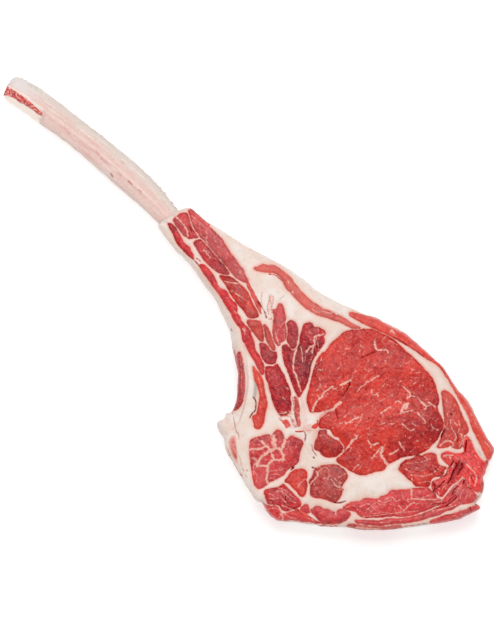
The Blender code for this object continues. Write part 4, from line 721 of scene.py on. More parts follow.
# Bigger patches on the fat: strength, softness in units, corners
fatPatches = {
    "lean": (
        (0.9, 0.7, 246, 281.7, 248.3, 281, 252, 288, 255, 294, 258.5, 300, 260.8, 307, 261.8, 313.5,
         259.8, 313.5, 257.5, 308.5, 254, 302, 250.5, 294, 247.5, 288),
        (0.7, 1.2, 293.5, 397, 297.5, 397.5, 299.3, 403, 299.8, 411, 300.3, 419, 300.5, 425.5,
         297.5, 427, 296.3, 422, 295, 416, 294.3, 410, 294, 403),
        (0.95, 0.7, 295.5, 507, 302, 511, 308, 514.5, 314, 519, 321, 522.5, 318, 524, 311, 522.5,
         303, 519.5, 297, 516, 294.5, 511), (0.45, 1.5, 291, 418, 295, 420, 297, 427, 292, 428),
        (0.85, 0.6, 272.5, 310, 275.8, 309.2, 275, 313.3, 273.3, 316.7),
        (0.45, 1.6, 231.2, 439.5, 235, 439, 236.2, 446, 236.6, 459, 234, 457, 231.2, 449),
    ),
    "blood": (
        (0.7, 1.1, 279, 419.5, 282.5, 420.5, 286, 419, 289, 421, 291, 425, 289.5, 427, 286, 428.5,
         283.5, 424.5),
        (0.85, 0.9, 312, 426, 313.5, 424.5, 315.5, 423, 317.5, 422.5, 319, 424.5, 317.5, 427, 316, 429,
         313, 428.5, 311.5, 427.5),
    ),
    "stain": (
        (0.55, 3, 300, 398, 304.5, 402, 306, 412, 307, 422, 311, 430, 304, 429, 300, 428),
        (0.8, 2, 303, 426, 311, 424, 313, 429, 309, 433, 303, 431),
        (0.55, 1.8, 269, 294.5, 272, 294.5, 273.5, 299, 272, 305, 271, 311, 267.5, 312, 267, 305,
         268, 298), (0.3, 3, 227, 417, 232, 420, 233, 427, 229, 433, 225, 427),
        (0.5, 2, 313, 429, 319, 429, 317, 437, 314, 441, 312, 437),
    ),
    "pink": (
        (0.75, 2, 230.5, 437, 235, 436.5, 236.8, 444, 237.4, 453, 237.6, 464, 235.2, 461, 232.6, 455,
         230, 449, 229, 443),
    ),
    # painted shade: a faint grey patch by the left edge
    "grey": (
        (0.14, 2.5, 217, 424, 222, 421, 224, 430, 221, 434),
    ),
}


def toWords(name):
    # a node's name in camelCase
    words = name.split("_")
    return words[0] + "".join(word.capitalize() for word in words[1:])


# Outlines at the mesh's own size
silhouette = roughen(smoothPath(meatOutline, slab["outlineSpacing"]), slab["edgeRoughness"])
muscles = {**throughMuscles, **thinMuscles}
drawnLoops = {name: smoothPath(drawn[2:], slab["seamSpacing"]) for name, drawn in muscles.items()}


def fattened(name):
    # an outline let out towards its neighbours, up to a thin seam of fat between them
    loop = drawnLoops[name]
    room = np.full(len(loop), farAway)
    for other, path in drawnLoops.items():
        if other != name:
            room = np.minimum(room, gapTo(loop, path, True, 6))
    out = np.clip(room / 2 - slab["thinnestSeam"] / 2, 0, slab["letOut"])
    if name in thinMuscles:
        toRim = gapTo(loop, silhouette, True) - slab["thinnestSeam"]
        out = np.minimum(out, np.clip(toRim, 0, None))
    follow = np.roll(loop, -1, axis=0)
    turn = np.sign(np.sum(loop[:, 0] * follow[:, 1] - loop[:, 1] * follow[:, 0]))
    return loop + turn * out[:, None] * sideways(loop)


muscleLoops = {name: roughen(fattened(name), slab["seamRoughness"]) for name in drawnLoops}
muscleNames = list(muscleLoops)
fatRegion = len(muscleNames)
thinRegions = {muscleNames.index(name) for name in thinMuscles}


def gridIn(low, high, spacing, seed):
    # slightly jittered triangular grid over a box
    rows = np.arange(low[1], high[1], spacing * 0.866)
    columns = np.arange(low[0], high[0], spacing)
    x, y = np.meshgrid(columns, rows)
    x[1::2] += spacing / 2
    spots = np.column_stack((x.ravel(), y.ravel()))
    jitter = slab["jitter"]
    return spots + np.random.default_rng(seed).uniform(-jitter, jitter, spots.shape) * spacing


def regionsOf(spots):
    # the muscle that each place is in, fatRegion in the fat, -1 outside the meat
    regions = np.where(insideOf(spots, silhouette), fatRegion, -1)
    for index, name in enumerate(muscleNames):
        regions[insideOf(spots, muscleLoops[name]) & (regions == fatRegion)] = index
    return regions


def seamGap(spots):
    # distance of each place to the nearest muscle's outline
    gap = np.full(len(spots), farAway)
    for loop in muscleLoops.values():
        gap = np.minimum(gap, gapTo(spots, loop[::2], True, 12))
    return gap


def triangulate(spots, edges):
    # a flat mesh over the places that keeps the given edges
    result = delaunay_2d_cdt([Vector(p) for p in spots.tolist()], edges, [], 0, 1e-7)
    flat = np.array([list(p) for p in result[0]])
    return flat, np.array([list(f) for f in result[2]])


def loopEdges(loops):
    # the points of several closed outlines in one list, and their edges
    points, edges, first = [], [], 0
    for loop in loops:
        count = len(loop)
        points.append(loop)
        edges += [(first + i, first + (i + 1) % count) for i in range(count)]
        first += count
    return np.vstack(points), edges


def upperFace():
    # one sheet of triangles over the whole upper face that keeps every outline
    corners, edges = loopEdges([silhouette] + list(muscleLoops.values()))
    low, high = silhouette.min(0), silhouette.max(0)
    lean = gridIn(low, high, slab["leanSpacing"], 1)
    fat = gridIn(low, high, slab["fatSpacing"], 2)
    leanRegions, fatRegions = regionsOf(lean), regionsOf(fat)
    lean = lean[(leanRegions >= 0) & (leanRegions != fatRegion)]
    fat = fat[fatRegions == fatRegion]
    veinPoints = np.vstack([smoothPath(line[2:], slab["veinSpacing"], False) for line in veins])
    veinPoints = veinPoints[regionsOf(veinPoints) >= 0]
    clear = slab["leanSpacing"] * slab["clearing"]
    for line in veins:
        lean = lean[gapTo(lean, smoothPath(line[2:], 0.9, False), False, 2) > clear]
    inner = np.vstack((lean, veinPoints, fat))
    gap = np.minimum(seamGap(inner), gapTo(inner, silhouette, True))
    inner = inner[gap > clear]
    spots, tris = triangulate(np.vstack((corners, inner)), edges)
    regions = regionsOf(spots[tris].mean(1))
    return spots, tris[regions >= 0], regions[regions >= 0]


topSpots, topTris, topRegions = upperFace()
print("upper face:", len(topSpots), "points", len(topTris), "triangles")


def rimEdges(tris, regions):
    # directed edges whose two sides lie in different regions: (a, b, region, other)
    starts = np.concatenate([tris[:, k] for k in range(3)])
    ends = np.concatenate([tris[:, (k + 1) % 3] for k in range(3)])
    owner = np.tile(regions, 3)
    count = int(tris.max()) + 1
    keys = starts.astype(np.int64) * count + ends
    backKeys = ends.astype(np.int64) * count + starts
    order = np.argsort(keys)
    at = np.searchsorted(keys[order], backKeys)
    at = np.minimum(at, len(keys) - 1)
    found = keys[order][at] == backKeys
    other = np.where(found, owner[order][at], -1)
    rim = other != owner
    return np.column_stack((starts, ends, owner, other))[rim]


def bodyRegion(region):
    # the thin muscles have fat below them
    return fatRegion if region in thinRegions else region


rims = rimEdges(topTris, topRegions)
outerNext = {a: b for a, b, region, other in rims.tolist() if other == -1}
chain = [min(outerNext)]
while outerNext[chain[-1]] != chain[0]:
    chain.append(outerNext[chain[-1]])
chain = np.array(chain)
print("outer edge:", len(chain), "of", len(outerNext), "points")


def neckShare(x):
    # 1 at the neck, 0 at the broad part
    return 1 - ease(x, slab["neckFrom"], slab["neckTo"])


def rounded(gap, radius):
    # how far a rounded edge has fallen at a distance from the outline
    reach = np.minimum(gap, radius)
    return radius - np.sqrt(np.maximum(0, radius ** 2 - (radius - reach) ** 2))


def cleftGap(spots, line):
    return gapTo(spots, smoothPath(line, 1.0, False), False, 8)


def topHeights(spots, regions):
    # height of the upper face, and the distance to the nearest seam
    flat = toPart(spots)
    share = neckShare(flat[:, 0])
    height = slab["thickness"] + (slab["neckThickness"] - slab["thickness"]) * share
    height = height + slab["swell"] * (np.sin(flat[:, 0] * 61 + 1.3) * np.cos(flat[:, 1] * 74 - 0.4)
                                       + 0.6 * np.sin(flat[:, 0] * 118 - flat[:, 1] * 97))
    radius = slab["shoulder"] + (slab["neckShoulder"] - slab["shoulder"]) * share
    height -= rounded(gapTo(spots, silhouette, True) * unit, radius)
    seam = seamGap(spots) * unit
    lean = regions != fatRegion
    height -= slab["seamDip"] * np.exp(-seam / slab["seamWidth"])
    height += lean * slab["crown"] * (1 - np.exp(-seam / slab["crownReach"]))
    away = 1 - np.exp(-seam / slab["lumpsFrom"])
    for lump, rise in slab["leanLumps"]:
        height += lean * away * rise * softNoise(spots, lump, 1.7)
    for lump, rise in slab["fatLumps"]:
        height += ~lean * away * rise * softNoise(spots, lump, 5.2)
    for halfWidth, depth, _, *line in clefts:
        height -= depth * np.exp(-(cleftGap(spots, line) / halfWidth) ** 2)
    return height, seam


pointRegions = np.full(len(topSpots), fatRegion)
for k in range(3):
    pointRegions[topTris[:, k]] = topRegions
topZ, topSeam = topHeights(topSpots, pointRegions)

# Colours, grain and gloss of lean and fat; sizes and stretches are those of the noise
flesh = {
    "darkLean": (0.25, 0.003, 0.007), "brightLean": (0.66, 0.040, 0.022),
    # deep red for the dark fibre lines and for painted shade at the seams
    "deepLeanAndShade": (0.22, 0.002, 0.006),
    "paleLean": (0.62, 0.26, 0.22), "roseReach": 1.9,     # units
    "warmFat": (0.69, 0.55, 0.48), "whiteFat": (0.71, 0.635, 0.585),
    "roseFat": (0.70, 0.365, 0.30), "stain": (0.64, 0.34, 0.29), "pink": (0.68, 0.21, 0.18),
    # grey for grey blotches and painted shade on the fat; near black for painted shade in the clefts
    "grey": (0.36, 0.30, 0.265), "cleft": (0.085, 0.002, 0.003),
    "grainTurn": math.radians(-43.3 + 40), "grainSize": 610.0, "grainStretch": 0.55,
    "toneReach": 0.42, "toneMiddle": 0.53, "mottle": 0.24, "patches": 0.10,
    "bundleSize": 165.0, "bundleTone": 0.20, "bundleEdge": 0.17,
    "fatBlotch": 0.24, "blotchSize": 230.0, "patchSize": 75.0, "frayed": 0.16,
    "fineSize": 1250.0, "fineShare": 0.24, "speckFrom": 0.55, "speckTo": 0.70, "speckMost": 0.32,
    "leanGloss": 0.40, "fatGloss": 0.46, "bumpStrength": 0.5, "bumpHeight": 0.0005,
    "glow": 0.06, "glowDepth": 0.0020, "specular": 0.20,
}
# How strewn strokes vary: spreads of turn and bend, shares of the given length, strength, width
strokeLook = {"turn": 24, "bend": 0.35, "shortest": 0.25, "faintest": 0.35, "widths": (0.8, 1.4),
              "crowdCells": ((16.0, 5.5), (6.0, 2.5))}


def strewStrokes(strewn, seed):
    # short random strokes along the grain: half width, strength, points
    strokes = []
    for name, (density, longest, halfWidth, strongest, turn) in strewn.items():
        draw = np.random.default_rng(len(strokes) + seed)
        loop = muscleLoops[name]
        low, high = loop.min(0), loop.max(0)
        count = round(density * np.prod(high - low) / 1000)
        middles = draw.uniform(low, high, (count, 2))
        crowd = sum(softNoise(middles, *cell) for cell in strokeLook["crowdCells"])
        keep = insideOf(middles, loop) & (crowd > draw.uniform(-1.0, 0.5, count))
        for middle in middles[keep]:
            angle = math.radians(turn + draw.normal(0, strokeLook["turn"]))
            way = np.array((math.cos(angle), -math.sin(angle)))
            half = 0.5 * longest * draw.uniform(strokeLook["shortest"], 1.0) * way
            bend = np.array((-way[1], way[0])) * draw.normal(0, strokeLook["bend"])
            wide = halfWidth * draw.uniform(*strokeLook["widths"])
            strength = strongest * draw.uniform(strokeLook["faintest"], 1.0)
            strokes.append((wide, strength, middle - half, middle + bend, middle + half))
    return strokes


# How the upper face is painted: lengths in drawing units, noise as cell, shift, amount
paint = {
    "seamBlur": 0.5,            # how softly lean turns into fat
    "alongGrain": (0.68, -0.73), "acrossGrain": (0.73, 0.68), "grainSquash": 0.55,
    "grainTones": ((2.3, 1.9, 0.26),), "lumpTones": ((6.5, 3.3, 0.22), (17.0, 2.9, 0.20)),
    "grainPale": ((2.9, 7.4, 0.07),), "lumpPale": ((7.5, 8.1, 0.06),),
    "rimAt": 1.0, "rimWidth": 0.7, "rimShade": 0.10, "rimChange": 0.34, "rimMost": 0.4,
    "veinReach": 3.5, "fibreReach": 2.5, "markReach": 14,
    "lineSpacing": 0.8,         # between the points of a drawn line
    "bloodTone": 1.4,
}


def lineGap(spots, line, reach):
    return gapTo(spots, smoothPath(line, paint["lineSpacing"], False), False, reach)


def varied(value, places, layers):
    # a value with layers of soft noise on it
    for cell, shift, amount in layers:
        value = value + amount * softNoise(places, cell, shift)
    return value


def fatMarkShares(spots, waver):
    # how strongly each mark and patch on the fat shows at each point
    for kind, drawn in fatMarks.items():
        for halfWidth, strength, *line in drawn:
            gap = lineGap(spots, line, paint["markReach"])
            wide = halfWidth * (1 + 0.25 * waver)
            yield kind, strength * np.exp(-(gap / wide) ** 4)
    for kind, drawn in fatPatches.items():
        for strength, softness, *corners in drawn:
            loop = smoothPath(corners, paint["lineSpacing"])
            gap = gapTo(spots, loop, True, paint["markReach"])
            depth = np.where(insideOf(spots, loop), gap, -gap) + 0.3 * softness * waver
            yield kind, strength * ease(depth, -0.5 * softness, 0.5 * softness)


def leanPaint(spots, regions, seam):
    # what the flesh material reads at each point of the upper face
    lean = regions != fatRegion
    seamUnits = seam / unit
    near = np.exp(-seamUnits / paint["seamBlur"])
    white = np.where(lean, 0, 1 - np.exp(-seamUnits / flesh["roseReach"]))
    fatShare = np.where(lean, 0.5 * near, 1 - 0.5 * near)
    tone, pale = tones[regions].T
    along = np.column_stack((spots @ paint["alongGrain"] * paint["grainSquash"],
                             spots @ paint["acrossGrain"]))
    tone = varied(varied(tone, along, paint["grainTones"]), spots, paint["lumpTones"])
    pale = varied(varied(pale, along, paint["grainPale"]), spots, paint["lumpPale"])
    for x, y, reach, toneStep, paleStep in toneSpots:
        share = np.exp(-np.sum((spots - (x, y)) ** 2, axis=1) / reach ** 2)
        tone = tone + toneStep * share
        pale = pale + paleStep * share
    blush = np.zeros(len(spots))
    grey = np.zeros(len(spots))
    rim = lean * np.exp(-((seamUnits - paint["rimAt"]) / paint["rimWidth"]) ** 2)
    shade = paint["rimShade"] + paint["rimChange"] * softNoise(spots, 7.0, 6.1)
    dark = rim * np.clip(shade, 0, paint["rimMost"])
    waver = softNoise(spots, 2.2, 8.8)
    finer = softNoise(spots, 1.3, 4.2)
    for halfWidth, strength, *line in itertools.chain(veins, strewStrokes(flecks, 11)):
        gap = lineGap(spots, line, paint["veinReach"])
        wide = veinLook["width"] * halfWidth * (1 + veinLook["waver"] * (waver + finer))
        mark = strength * (1 + veinLook["breaks"] * finer) * np.exp(-(gap / wide) ** 2)
        fatShare = np.where(lean, np.maximum(fatShare, mark), fatShare)
    for halfWidth, strength, *line in strewStrokes(fibreLines, 57):
        gap = lineGap(spots, line, paint["fibreReach"])
        dark = np.maximum(dark, lean * strength * np.exp(-(gap / halfWidth) ** 2))
    for kind, mark in fatMarkShares(spots, waver):
        if kind == "stain":
            blush = np.where(lean, blush, np.maximum(blush, mark))
        elif kind == "pink":
            blush = np.where(lean, blush, np.maximum(blush, 2 * mark))
        # the grey marks are painted shade on the fat
        elif kind == "grey":
            grey = np.where(lean, grey, np.maximum(grey, mark))
        else:
            fatShare = np.where(lean, fatShare, np.minimum(fatShare, 1 - mark))
            if kind == "blood":
                tone = tone + mark * paint["bloodTone"]
                pale = pale * (1 - mark)
    # painted shade in the clefts and cracks
    for halfWidth, _, shade, *line in clefts:
        away = cleftGap(spots, line) / halfWidth
        away /= np.maximum(0.4, 1 + 0.55 * (waver + finer))
        dark = np.maximum(dark, shade * np.exp(-away ** 2))
    return fatShare, tone, pale, white, blush, dark, grey


tones = np.array([muscles[name][:2] for name in muscleNames] + [(0.2, 0.1)])
print("painting the upper face")
topPaint = leanPaint(topSpots, pointRegions, topSeam)

# Every point of the slab goes into one pool; each piece takes the ones that it uses
poolPlaces = [np.column_stack((toPart(topSpots), topZ))]
poolPaint = [np.column_stack(topPaint)]
poolCount = len(topSpots)


def addToPool(places, painted):
    # their numbers in the pool
    global poolCount
    poolPlaces.append(np.asarray(places, float))
    poolPaint.append(np.asarray(painted, float))
    first = poolCount
    poolCount += len(places)
    return np.arange(first, poolCount)


# Underside: the same outlines with a coarser inside, lengths in units
underside = {"spacing": 4.2, "finerWithin": 9, "fromRim": 1.0, "fromSeam": 1.2, "seamBlur": 0.8,
             "blush": 0.15}
bodyRims = np.array([row for row in rims.tolist() if bodyRegion(row[2]) != bodyRegion(row[3])])
rimPoints = np.unique(bodyRims[:, :2])
rimPlace = {point: k for k, point in enumerate(rimPoints.tolist())}
underEdges = [(rimPlace[a], rimPlace[b]) for a, b in bodyRims[:, :2].tolist() if a < b]
underEdges += [(rimPlace[a], rimPlace[b]) for a, b, _, other in bodyRims.tolist()
               if a > b and other == -1]
coarse = gridIn(silhouette.min(0), silhouette.max(0), underside["spacing"], 3)
finer = gridIn(silhouette.min(0), silhouette.max(0), underside["spacing"] / 2, 4)
coarseGap, finerGap = gapTo(coarse, silhouette, True), gapTo(finer, silhouette, True)
coarse = coarse[coarseGap > underside["finerWithin"]]
finer = finer[(finerGap <= underside["finerWithin"]) & (finerGap > underside["fromRim"])]
inner = np.vstack((coarse, finer))
inner = inner[insideOf(inner, silhouette)]
inner = inner[seamGap(inner) > underside["fromSeam"]]
underSpots, underTris = triangulate(np.vstack((topSpots[rimPoints], inner)), underEdges)
underRegions = np.array([bodyRegion(r) for r in regionsOf(underSpots[underTris].mean(1))])
underTris, underRegions = underTris[underRegions >= 0], underRegions[underRegions >= 0]
underOwner = np.full(len(underSpots), fatRegion)
for k in range(3):
    underOwner[underTris[:, k]] = underRegions
underEdge = gapTo(underSpots, silhouette, True) * unit
underSeam = seamGap(underSpots)
underZ = rounded(underEdge, slab["foot"])
underNear = np.exp(-underSeam / underside["seamBlur"])
underFat = np.where(underOwner != fatRegion, 0.5 * underNear, 1 - 0.5 * underNear)
underPaint = np.column_stack((
    underFat, tones[underOwner], np.where(underOwner == fatRegion, 1 - underNear, 0),
    np.full(len(underSpots), underside["blush"]), np.zeros((len(underSpots), 2))))
underPool = addToPool(np.column_stack((toPart(underSpots), underZ)), underPaint)
underOf = {point: int(underPool[k]) for point, k in rimPlace.items()}
print("underside:", len(underTris), "triangles")

# Sides: a column of points below every point of the outer edge
rows = slab["wallRows"]
wall = {
    "drift": 16.0,          # units that a seam wanders sideways on its way down
    "streakCells": (26.0, 2.6), "streakFrom": 0.05, "streakTo": 0.45, "streakMost": 0.85,
    "roughness": ((0.0022, 0.00022), (0.0075, 0.0005)),
    "dents": ((0.030, 0.0022), (0.012, 0.0009)),        # lump size and depth, inwards
    "ragged": ((2.0, 0.5), (5.0, 1.2), (12.0, 2.6)),    # units that a seam frays by
    "fingers": 13.0,                                    # units that layers reach past a seam
    "driftCells": (30, 2.2), "fingerCells": (70, 9.5), "raggedSquash": 0.4,
    "blush": 0.35, "pale": 0.1, "rose": 0.8,
}


def wallCells(t, cells):
    # places on the unrolled side, along the rim and down, in cells of its soft noise
    return np.column_stack((arc / cells[0], np.full(len(arc), t * cells[1])))


flatChain = toPart(topSpots[chain])
ahead = np.zeros_like(flatChain)
for step in (2, 4, 6):
    ahead += np.roll(flatChain, -step, axis=0) - np.roll(flatChain, step, axis=0)
ahead /= np.hypot(*ahead.T)[:, None]
outward = np.column_stack((ahead[:, 1], -ahead[:, 0]))
arc = np.concatenate(([0], np.cumsum(np.hypot(*np.diff(topSpots[chain], axis=0).T))))
ownerOf = {a: region for a, b, region, other in rims.tolist() if other == -1}
chainRegions = np.array([ownerOf[p] for p in chain.tolist()])
chainLean = (chainRegions != fatRegion).astype(float)
chainLean = sum(np.roll(chainLean, k) for k in (-1, 0, 1, 2)) / 4
chainTone = tones[chainRegions, 0]
zTop = topZ[chain]
zFoot = np.array([poolPlaces[1][underOf[p] - len(topSpots), 2] for p in chain.tolist()])
columns = np.zeros((len(chain), rows + 1), int)
columns[:, 0] = chain
columns[:, rows] = [underOf[p] for p in chain.tolist()]
for row in range(1, rows):
    t = row / rows
    middle = math.sin(math.pi * t)      # 0 at the rims, 1 half way down
    z = zTop + (zFoot - zTop) * t
    places = np.column_stack((flatChain + outward * slab["bulge"] * middle ** 0.7, z))
    push = sum(far * softNoise(places, lump, 2.2) for lump, far in wall["roughness"])
    push -= sum(far * (0.5 + 0.5 * softNoise(places, lump, 6.8)) for lump, far in wall["dents"])
    places[:, :2] += outward * (push * middle ** 0.6)[:, None]
    wander = wall["drift"] * middle * softNoise(wallCells(t, wall["driftCells"]), 1.0, 4.4)
    frayed = np.column_stack((arc * wall["raggedSquash"], z / unit))
    wander += middle ** 0.4 * sum(
        far * softNoise(frayed, lump, 3.6) for lump, far in wall["ragged"])
    wander += wall["fingers"] * middle ** 0.5 * softNoise(
        wallCells(t, wall["fingerCells"]), 1.0, 1.7)
    lean = np.interp((arc + wander) % arc[-1], arc, chainLean)
    streakSpots = np.column_stack((arc / wall["streakCells"][0],
                                   z / unit / wall["streakCells"][1]))
    streak = ease(softNoise(streakSpots, 1.0, 6.6), wall["streakFrom"], wall["streakTo"])
    streak *= wall["streakMost"] * ease(t, 0.02, 0.12)
    fatShare = np.maximum(1 - lean, streak * lean)
    blush = wall["blush"] * ease(softNoise(streakSpots, 1.0, 9.1), 0.0, 0.6)
    tone = np.interp((arc + wander) % arc[-1], arc, chainTone)
    columns[:, row] = addToPool(places, np.column_stack(
        (fatShare, tone, wall["pale"] + 0 * arc, 1 - wall["rose"] * lean, blush, 0 * arc,
         0 * arc)))
columnOf = {int(column[0]): column.tolist() for column in columns}

# Floors of the pockets that the thin muscles lie in
thinTris = topTris[np.isin(topRegions, list(thinRegions))]
thinPoints = np.unique(thinTris)
thinPlaces = poolPlaces[0][thinPoints]
floorPool = addToPool(thinPlaces - [0, 0, slab["pocketDepth"] + 0.0003], poolPaint[0][thinPoints])
beneathPool = addToPool(thinPlaces - [0, 0, slab["pocketDepth"]], poolPaint[0][thinPoints])
floorOf = dict(zip(thinPoints.tolist(), floorPool.tolist()))
beneathOf = dict(zip(thinPoints.tolist(), beneathPool.tolist()))
allPlaces, allPaint = np.vstack(poolPlaces), np.vstack(poolPaint)


def wallFaces(left, right):
    # triangles between two columns of points, seen from outside with the left one first
    faces = []
    if len(left) == len(right):
        for k in range(len(left) - 1):
            faces.append((left[k], left[k + 1], right[k + 1]))
            faces.append((left[k], right[k + 1], right[k]))
    elif len(left) > len(right):
        faces += [(left[k], left[k + 1], right[-1]) for k in range(len(left) - 1)]
        faces.append((left[0], right[-1], right[0]))
    else:
        faces += [(left[-1], right[k + 1], right[k]) for k in range(len(right) - 1)]
        faces.append((left[0], left[-1], right[0]))
    return faces


def straightColumn(point):
    # the points below one rim point: a whole column at the outside, its foot alone inside
    return columnOf.get(point, [point, underOf[point]]) if point in underOf else None


def fleshFaces(region):
    # all outer triangles of one muscle, or of the fat, and its hidden ones
    faces, hidden = topTris[topRegions == region].tolist(), []
    if region in thinRegions:
        hidden += [[beneathOf[p] for p in reversed(tri)] for tri in faces]
        for a, b, owner, other in rims.tolist():
            if owner == region:
                hidden += wallFaces([a, beneathOf[a]], [b, beneathOf[b]])
        return faces, hidden
    faces += [[int(underPool[p]) for p in reversed(tri)]
              for tri in underTris[underRegions == region].tolist()]
    for a, b, owner, other in rims.tolist():
        if bodyRegion(owner) == region and bodyRegion(other) != region:
            seen = faces if other == -1 else hidden
            seen += wallFaces(straightColumn(a), straightColumn(b))
    if region == fatRegion:
        hidden += [[floorOf[p] for p in tri] for tri in thinTris.tolist()]
        for a, b, owner, other in rims.tolist():
            if owner in thinRegions:
                hidden += wallFaces([b, floorOf[b]], [a, floorOf[a]])
    return faces, hidden


def sharpenHidden(mesh, hiddenFrom):
    # crisp shading where the outside meets a face that is hidden
    ends = np.zeros(len(mesh.loops), int)       # the edge that each face corner starts
    mesh.loops.foreach_get("edge_index", ends)
    isHidden = np.repeat(np.arange(len(mesh.polygons)) >= hiddenFrom, 3)
    seen, unseen = np.zeros((2, len(mesh.edges)), bool)
    seen[ends[~isHidden]] = True
    unseen[ends[isHidden]] = True
    layer = mesh.attributes.get("sharp_edge") or mesh.attributes.new("sharp_edge", "BOOLEAN", "EDGE")
    sharp = np.zeros(len(mesh.edges), bool)
    layer.data.foreach_get("value", sharp)
    layer.data.foreach_set("value", sharp | (seen & unseen))


def makePiece(name, places, faces, node, attributes):
    # a smooth mesh object that stands for one node of the frame
    mesh = bpy.data.meshes.new(name)
    mesh.from_pydata(places.tolist(), [], faces)
    mesh.shade_smooth()
    mesh.set_sharp_from_angle(angle=math.radians(52))
    for key, values in attributes.items():
        layer = mesh.attributes.new(key, "FLOAT", "POINT")
        layer.data.foreach_set("value", np.asarray(values, np.float32))
    piece = bpy.data.objects.new(name, mesh)
    bpy.context.scene.collection.objects.link(piece)
    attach(piece, "root")
    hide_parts(node)
    return piece


paintNames = ("fatShare", "tone", "pale", "white", "blush", "dark", "grey")


def makeFlesh(name, region, node):
    # one muscle, or the fat, from the pool
    outer, hidden = fleshFaces(region)
    faces = np.array(outer + hidden)
    used, faces = np.unique(faces, return_inverse=True)
    faces = faces.reshape(-1, 3)
    layers = {key: allPaint[used, k] for k, key in enumerate(paintNames)}
    piece = makePiece(name, allPlaces[used], faces.tolist(), node, layers)
    sharpenHidden(piece.data, len(outer))
    return piece


def addNode(tree, kind, inputs=None, **settings):
    # a shader node with its inputs set, or linked where a socket is given
    node = tree.nodes.new(kind)
    for key, value in settings.items():
        setattr(node, key, value)
    for key, value in (inputs or {}).items():
        if isinstance(value, bpy.types.NodeSocket):
            tree.links.new(value, node.inputs[key])
        else:
            node.inputs[key].default_value = value
    return node


def mixColour(tree, share, first, second):
    node = tree.nodes.new("ShaderNodeMix")
    node.data_type = "RGBA"
    for index, value in ((0, share), (6, first), (7, second)):
        if isinstance(value, bpy.types.NodeSocket):
            tree.links.new(value, node.inputs[index])
        else:
            node.inputs[index].default_value = value if index == 0 else (*value, 1)
    return node.outputs[2]


def maths(tree, operation, first, second=0.0, clamp=False):
    node = tree.nodes.new("ShaderNodeMath")
    node.operation, node.use_clamp = operation, clamp
    for index, value in enumerate((first, second)):
        if isinstance(value, bpy.types.NodeSocket):
            tree.links.new(value, node.inputs[index])
        else:
            node.inputs[index].default_value = value
    return node.outputs[0]


def spread(tree, value, low, high, outLow=0.0, outHigh=1.0):
    # outLow where the value is at low, outHigh where it is at high, smooth between
    node = addNode(tree, "ShaderNodeMapRange", {
        "Value": value, "From Min": low, "From Max": high, "To Min": outLow, "To Max": outHigh},
        interpolation_type="SMOOTHSTEP")
    return node.outputs[0]


def attribute(tree, name):
    return addNode(tree, "ShaderNodeAttribute", attribute_name=name).outputs["Fac"]


def noise(tree, place, scale, detail, roughness):
    return addNode(tree, "ShaderNodeTexNoise", {
        "Vector": place, "Scale": scale, "Detail": detail, "Roughness": roughness}).outputs[0]


def newMaterial(name):
    material = bpy.data.materials.new(name)
    material.use_nodes = True
    return material, material.node_tree, material.node_tree.nodes["Principled BSDF"]


def finishShader(tree, shader, colour, height, strength, depth, values):
    # colour, fine relief and the fixed values of a material
    tree.links.new(colour, shader.inputs["Base Color"])
    bump = addNode(tree, "ShaderNodeBump", {
        "Strength": strength, "Distance": depth, "Height": height})
    tree.links.new(bump.outputs[0], shader.inputs["Normal"])
    for key, value in values.items():
        shader.inputs[key].default_value = value


def leanColour(tree, look, grain, mottle, broad, fine):
    # the painted tone, broken up by the grain, bundles of fibres and pale specks
    def shifted(toneSum, value, low, high, amount, clamp=False):
        return maths(tree, "ADD", toneSum, spread(tree, value, low, high, -amount, amount), clamp)

    toneSum = maths(tree, "MULTIPLY_ADD", attribute(tree, "tone"), look["toneReach"])
    toneSum.node.inputs[2].default_value = look["toneMiddle"]
    toneSum = shifted(toneSum, mottle, 0.25, 0.75, look["mottle"])
    toneSum = shifted(toneSum, fine, 0.25, 0.75, look["fineShare"])
    toneSum = shifted(toneSum, broad, 0.3, 0.7, look["patches"], True)
    bundle = {"Vector": grain, "Scale": look["bundleSize"], "Randomness": 1.0}
    bundles = addNode(tree, "ShaderNodeTexVoronoi", bundle)
    bundleTone = addNode(tree, "ShaderNodeSeparateColor", {"Color": bundles.outputs["Color"]})
    toneSum = shifted(toneSum, bundleTone.outputs[0], 0, 1, look["bundleTone"] / 2)
    borders = addNode(tree, "ShaderNodeTexVoronoi", bundle, feature="DISTANCE_TO_EDGE")
    toneSum = maths(tree, "ADD", toneSum, spread(
        tree, borders.outputs[0], 0.0, 0.14, -look["bundleEdge"], 0.0), True)
    lean = mixColour(tree, toneSum, look["darkLean"], look["brightLean"])
    speckSum = maths(tree, "ADD", maths(tree, "MULTIPLY", mottle, 0.4),
                     maths(tree, "MULTIPLY", fine, 0.6))
    speck = spread(tree, speckSum, look["speckFrom"], look["speckTo"], 0.0, look["speckMost"])
    paleness = maths(tree, "ADD", attribute(tree, "pale"), speck, True)
    return mixColour(tree, paleness, lean, look["paleLean"])


def fatColour(tree, look, place, mottle, broad):
    # warm and white fat, rosy at the seams, then blotches and the painted marks; the grey marks are
    # painted shade
    blush = attribute(tree, "blush")
    blotch = noise(tree, place, look["blotchSize"], 4.0, 0.6)
    blotchy = spread(tree, blotch, 0.5, 0.8, 0.0, look["fatBlotch"])
    greyish = spread(tree, blotch, 0.5, 0.25, 0.0, look["fatBlotch"])
    stained = maths(tree, "MULTIPLY", blush, spread(tree, mottle, 0.3, 0.7, 0.55, 1.0), True)
    fat = mixColour(tree, spread(tree, broad, 0.35, 0.65), look["warmFat"], look["whiteFat"])
    fat = mixColour(tree, attribute(tree, "white"), look["roseFat"], fat)
    for share, colour in ((blotchy, "stain"), (greyish, "grey"), (stained, "stain"),
                          (spread(tree, blush, 1.0, 2.0), "pink"),
                          (attribute(tree, "grey"), "grey")):
        fat = mixColour(tree, share, fat, look[colour])
    return fat


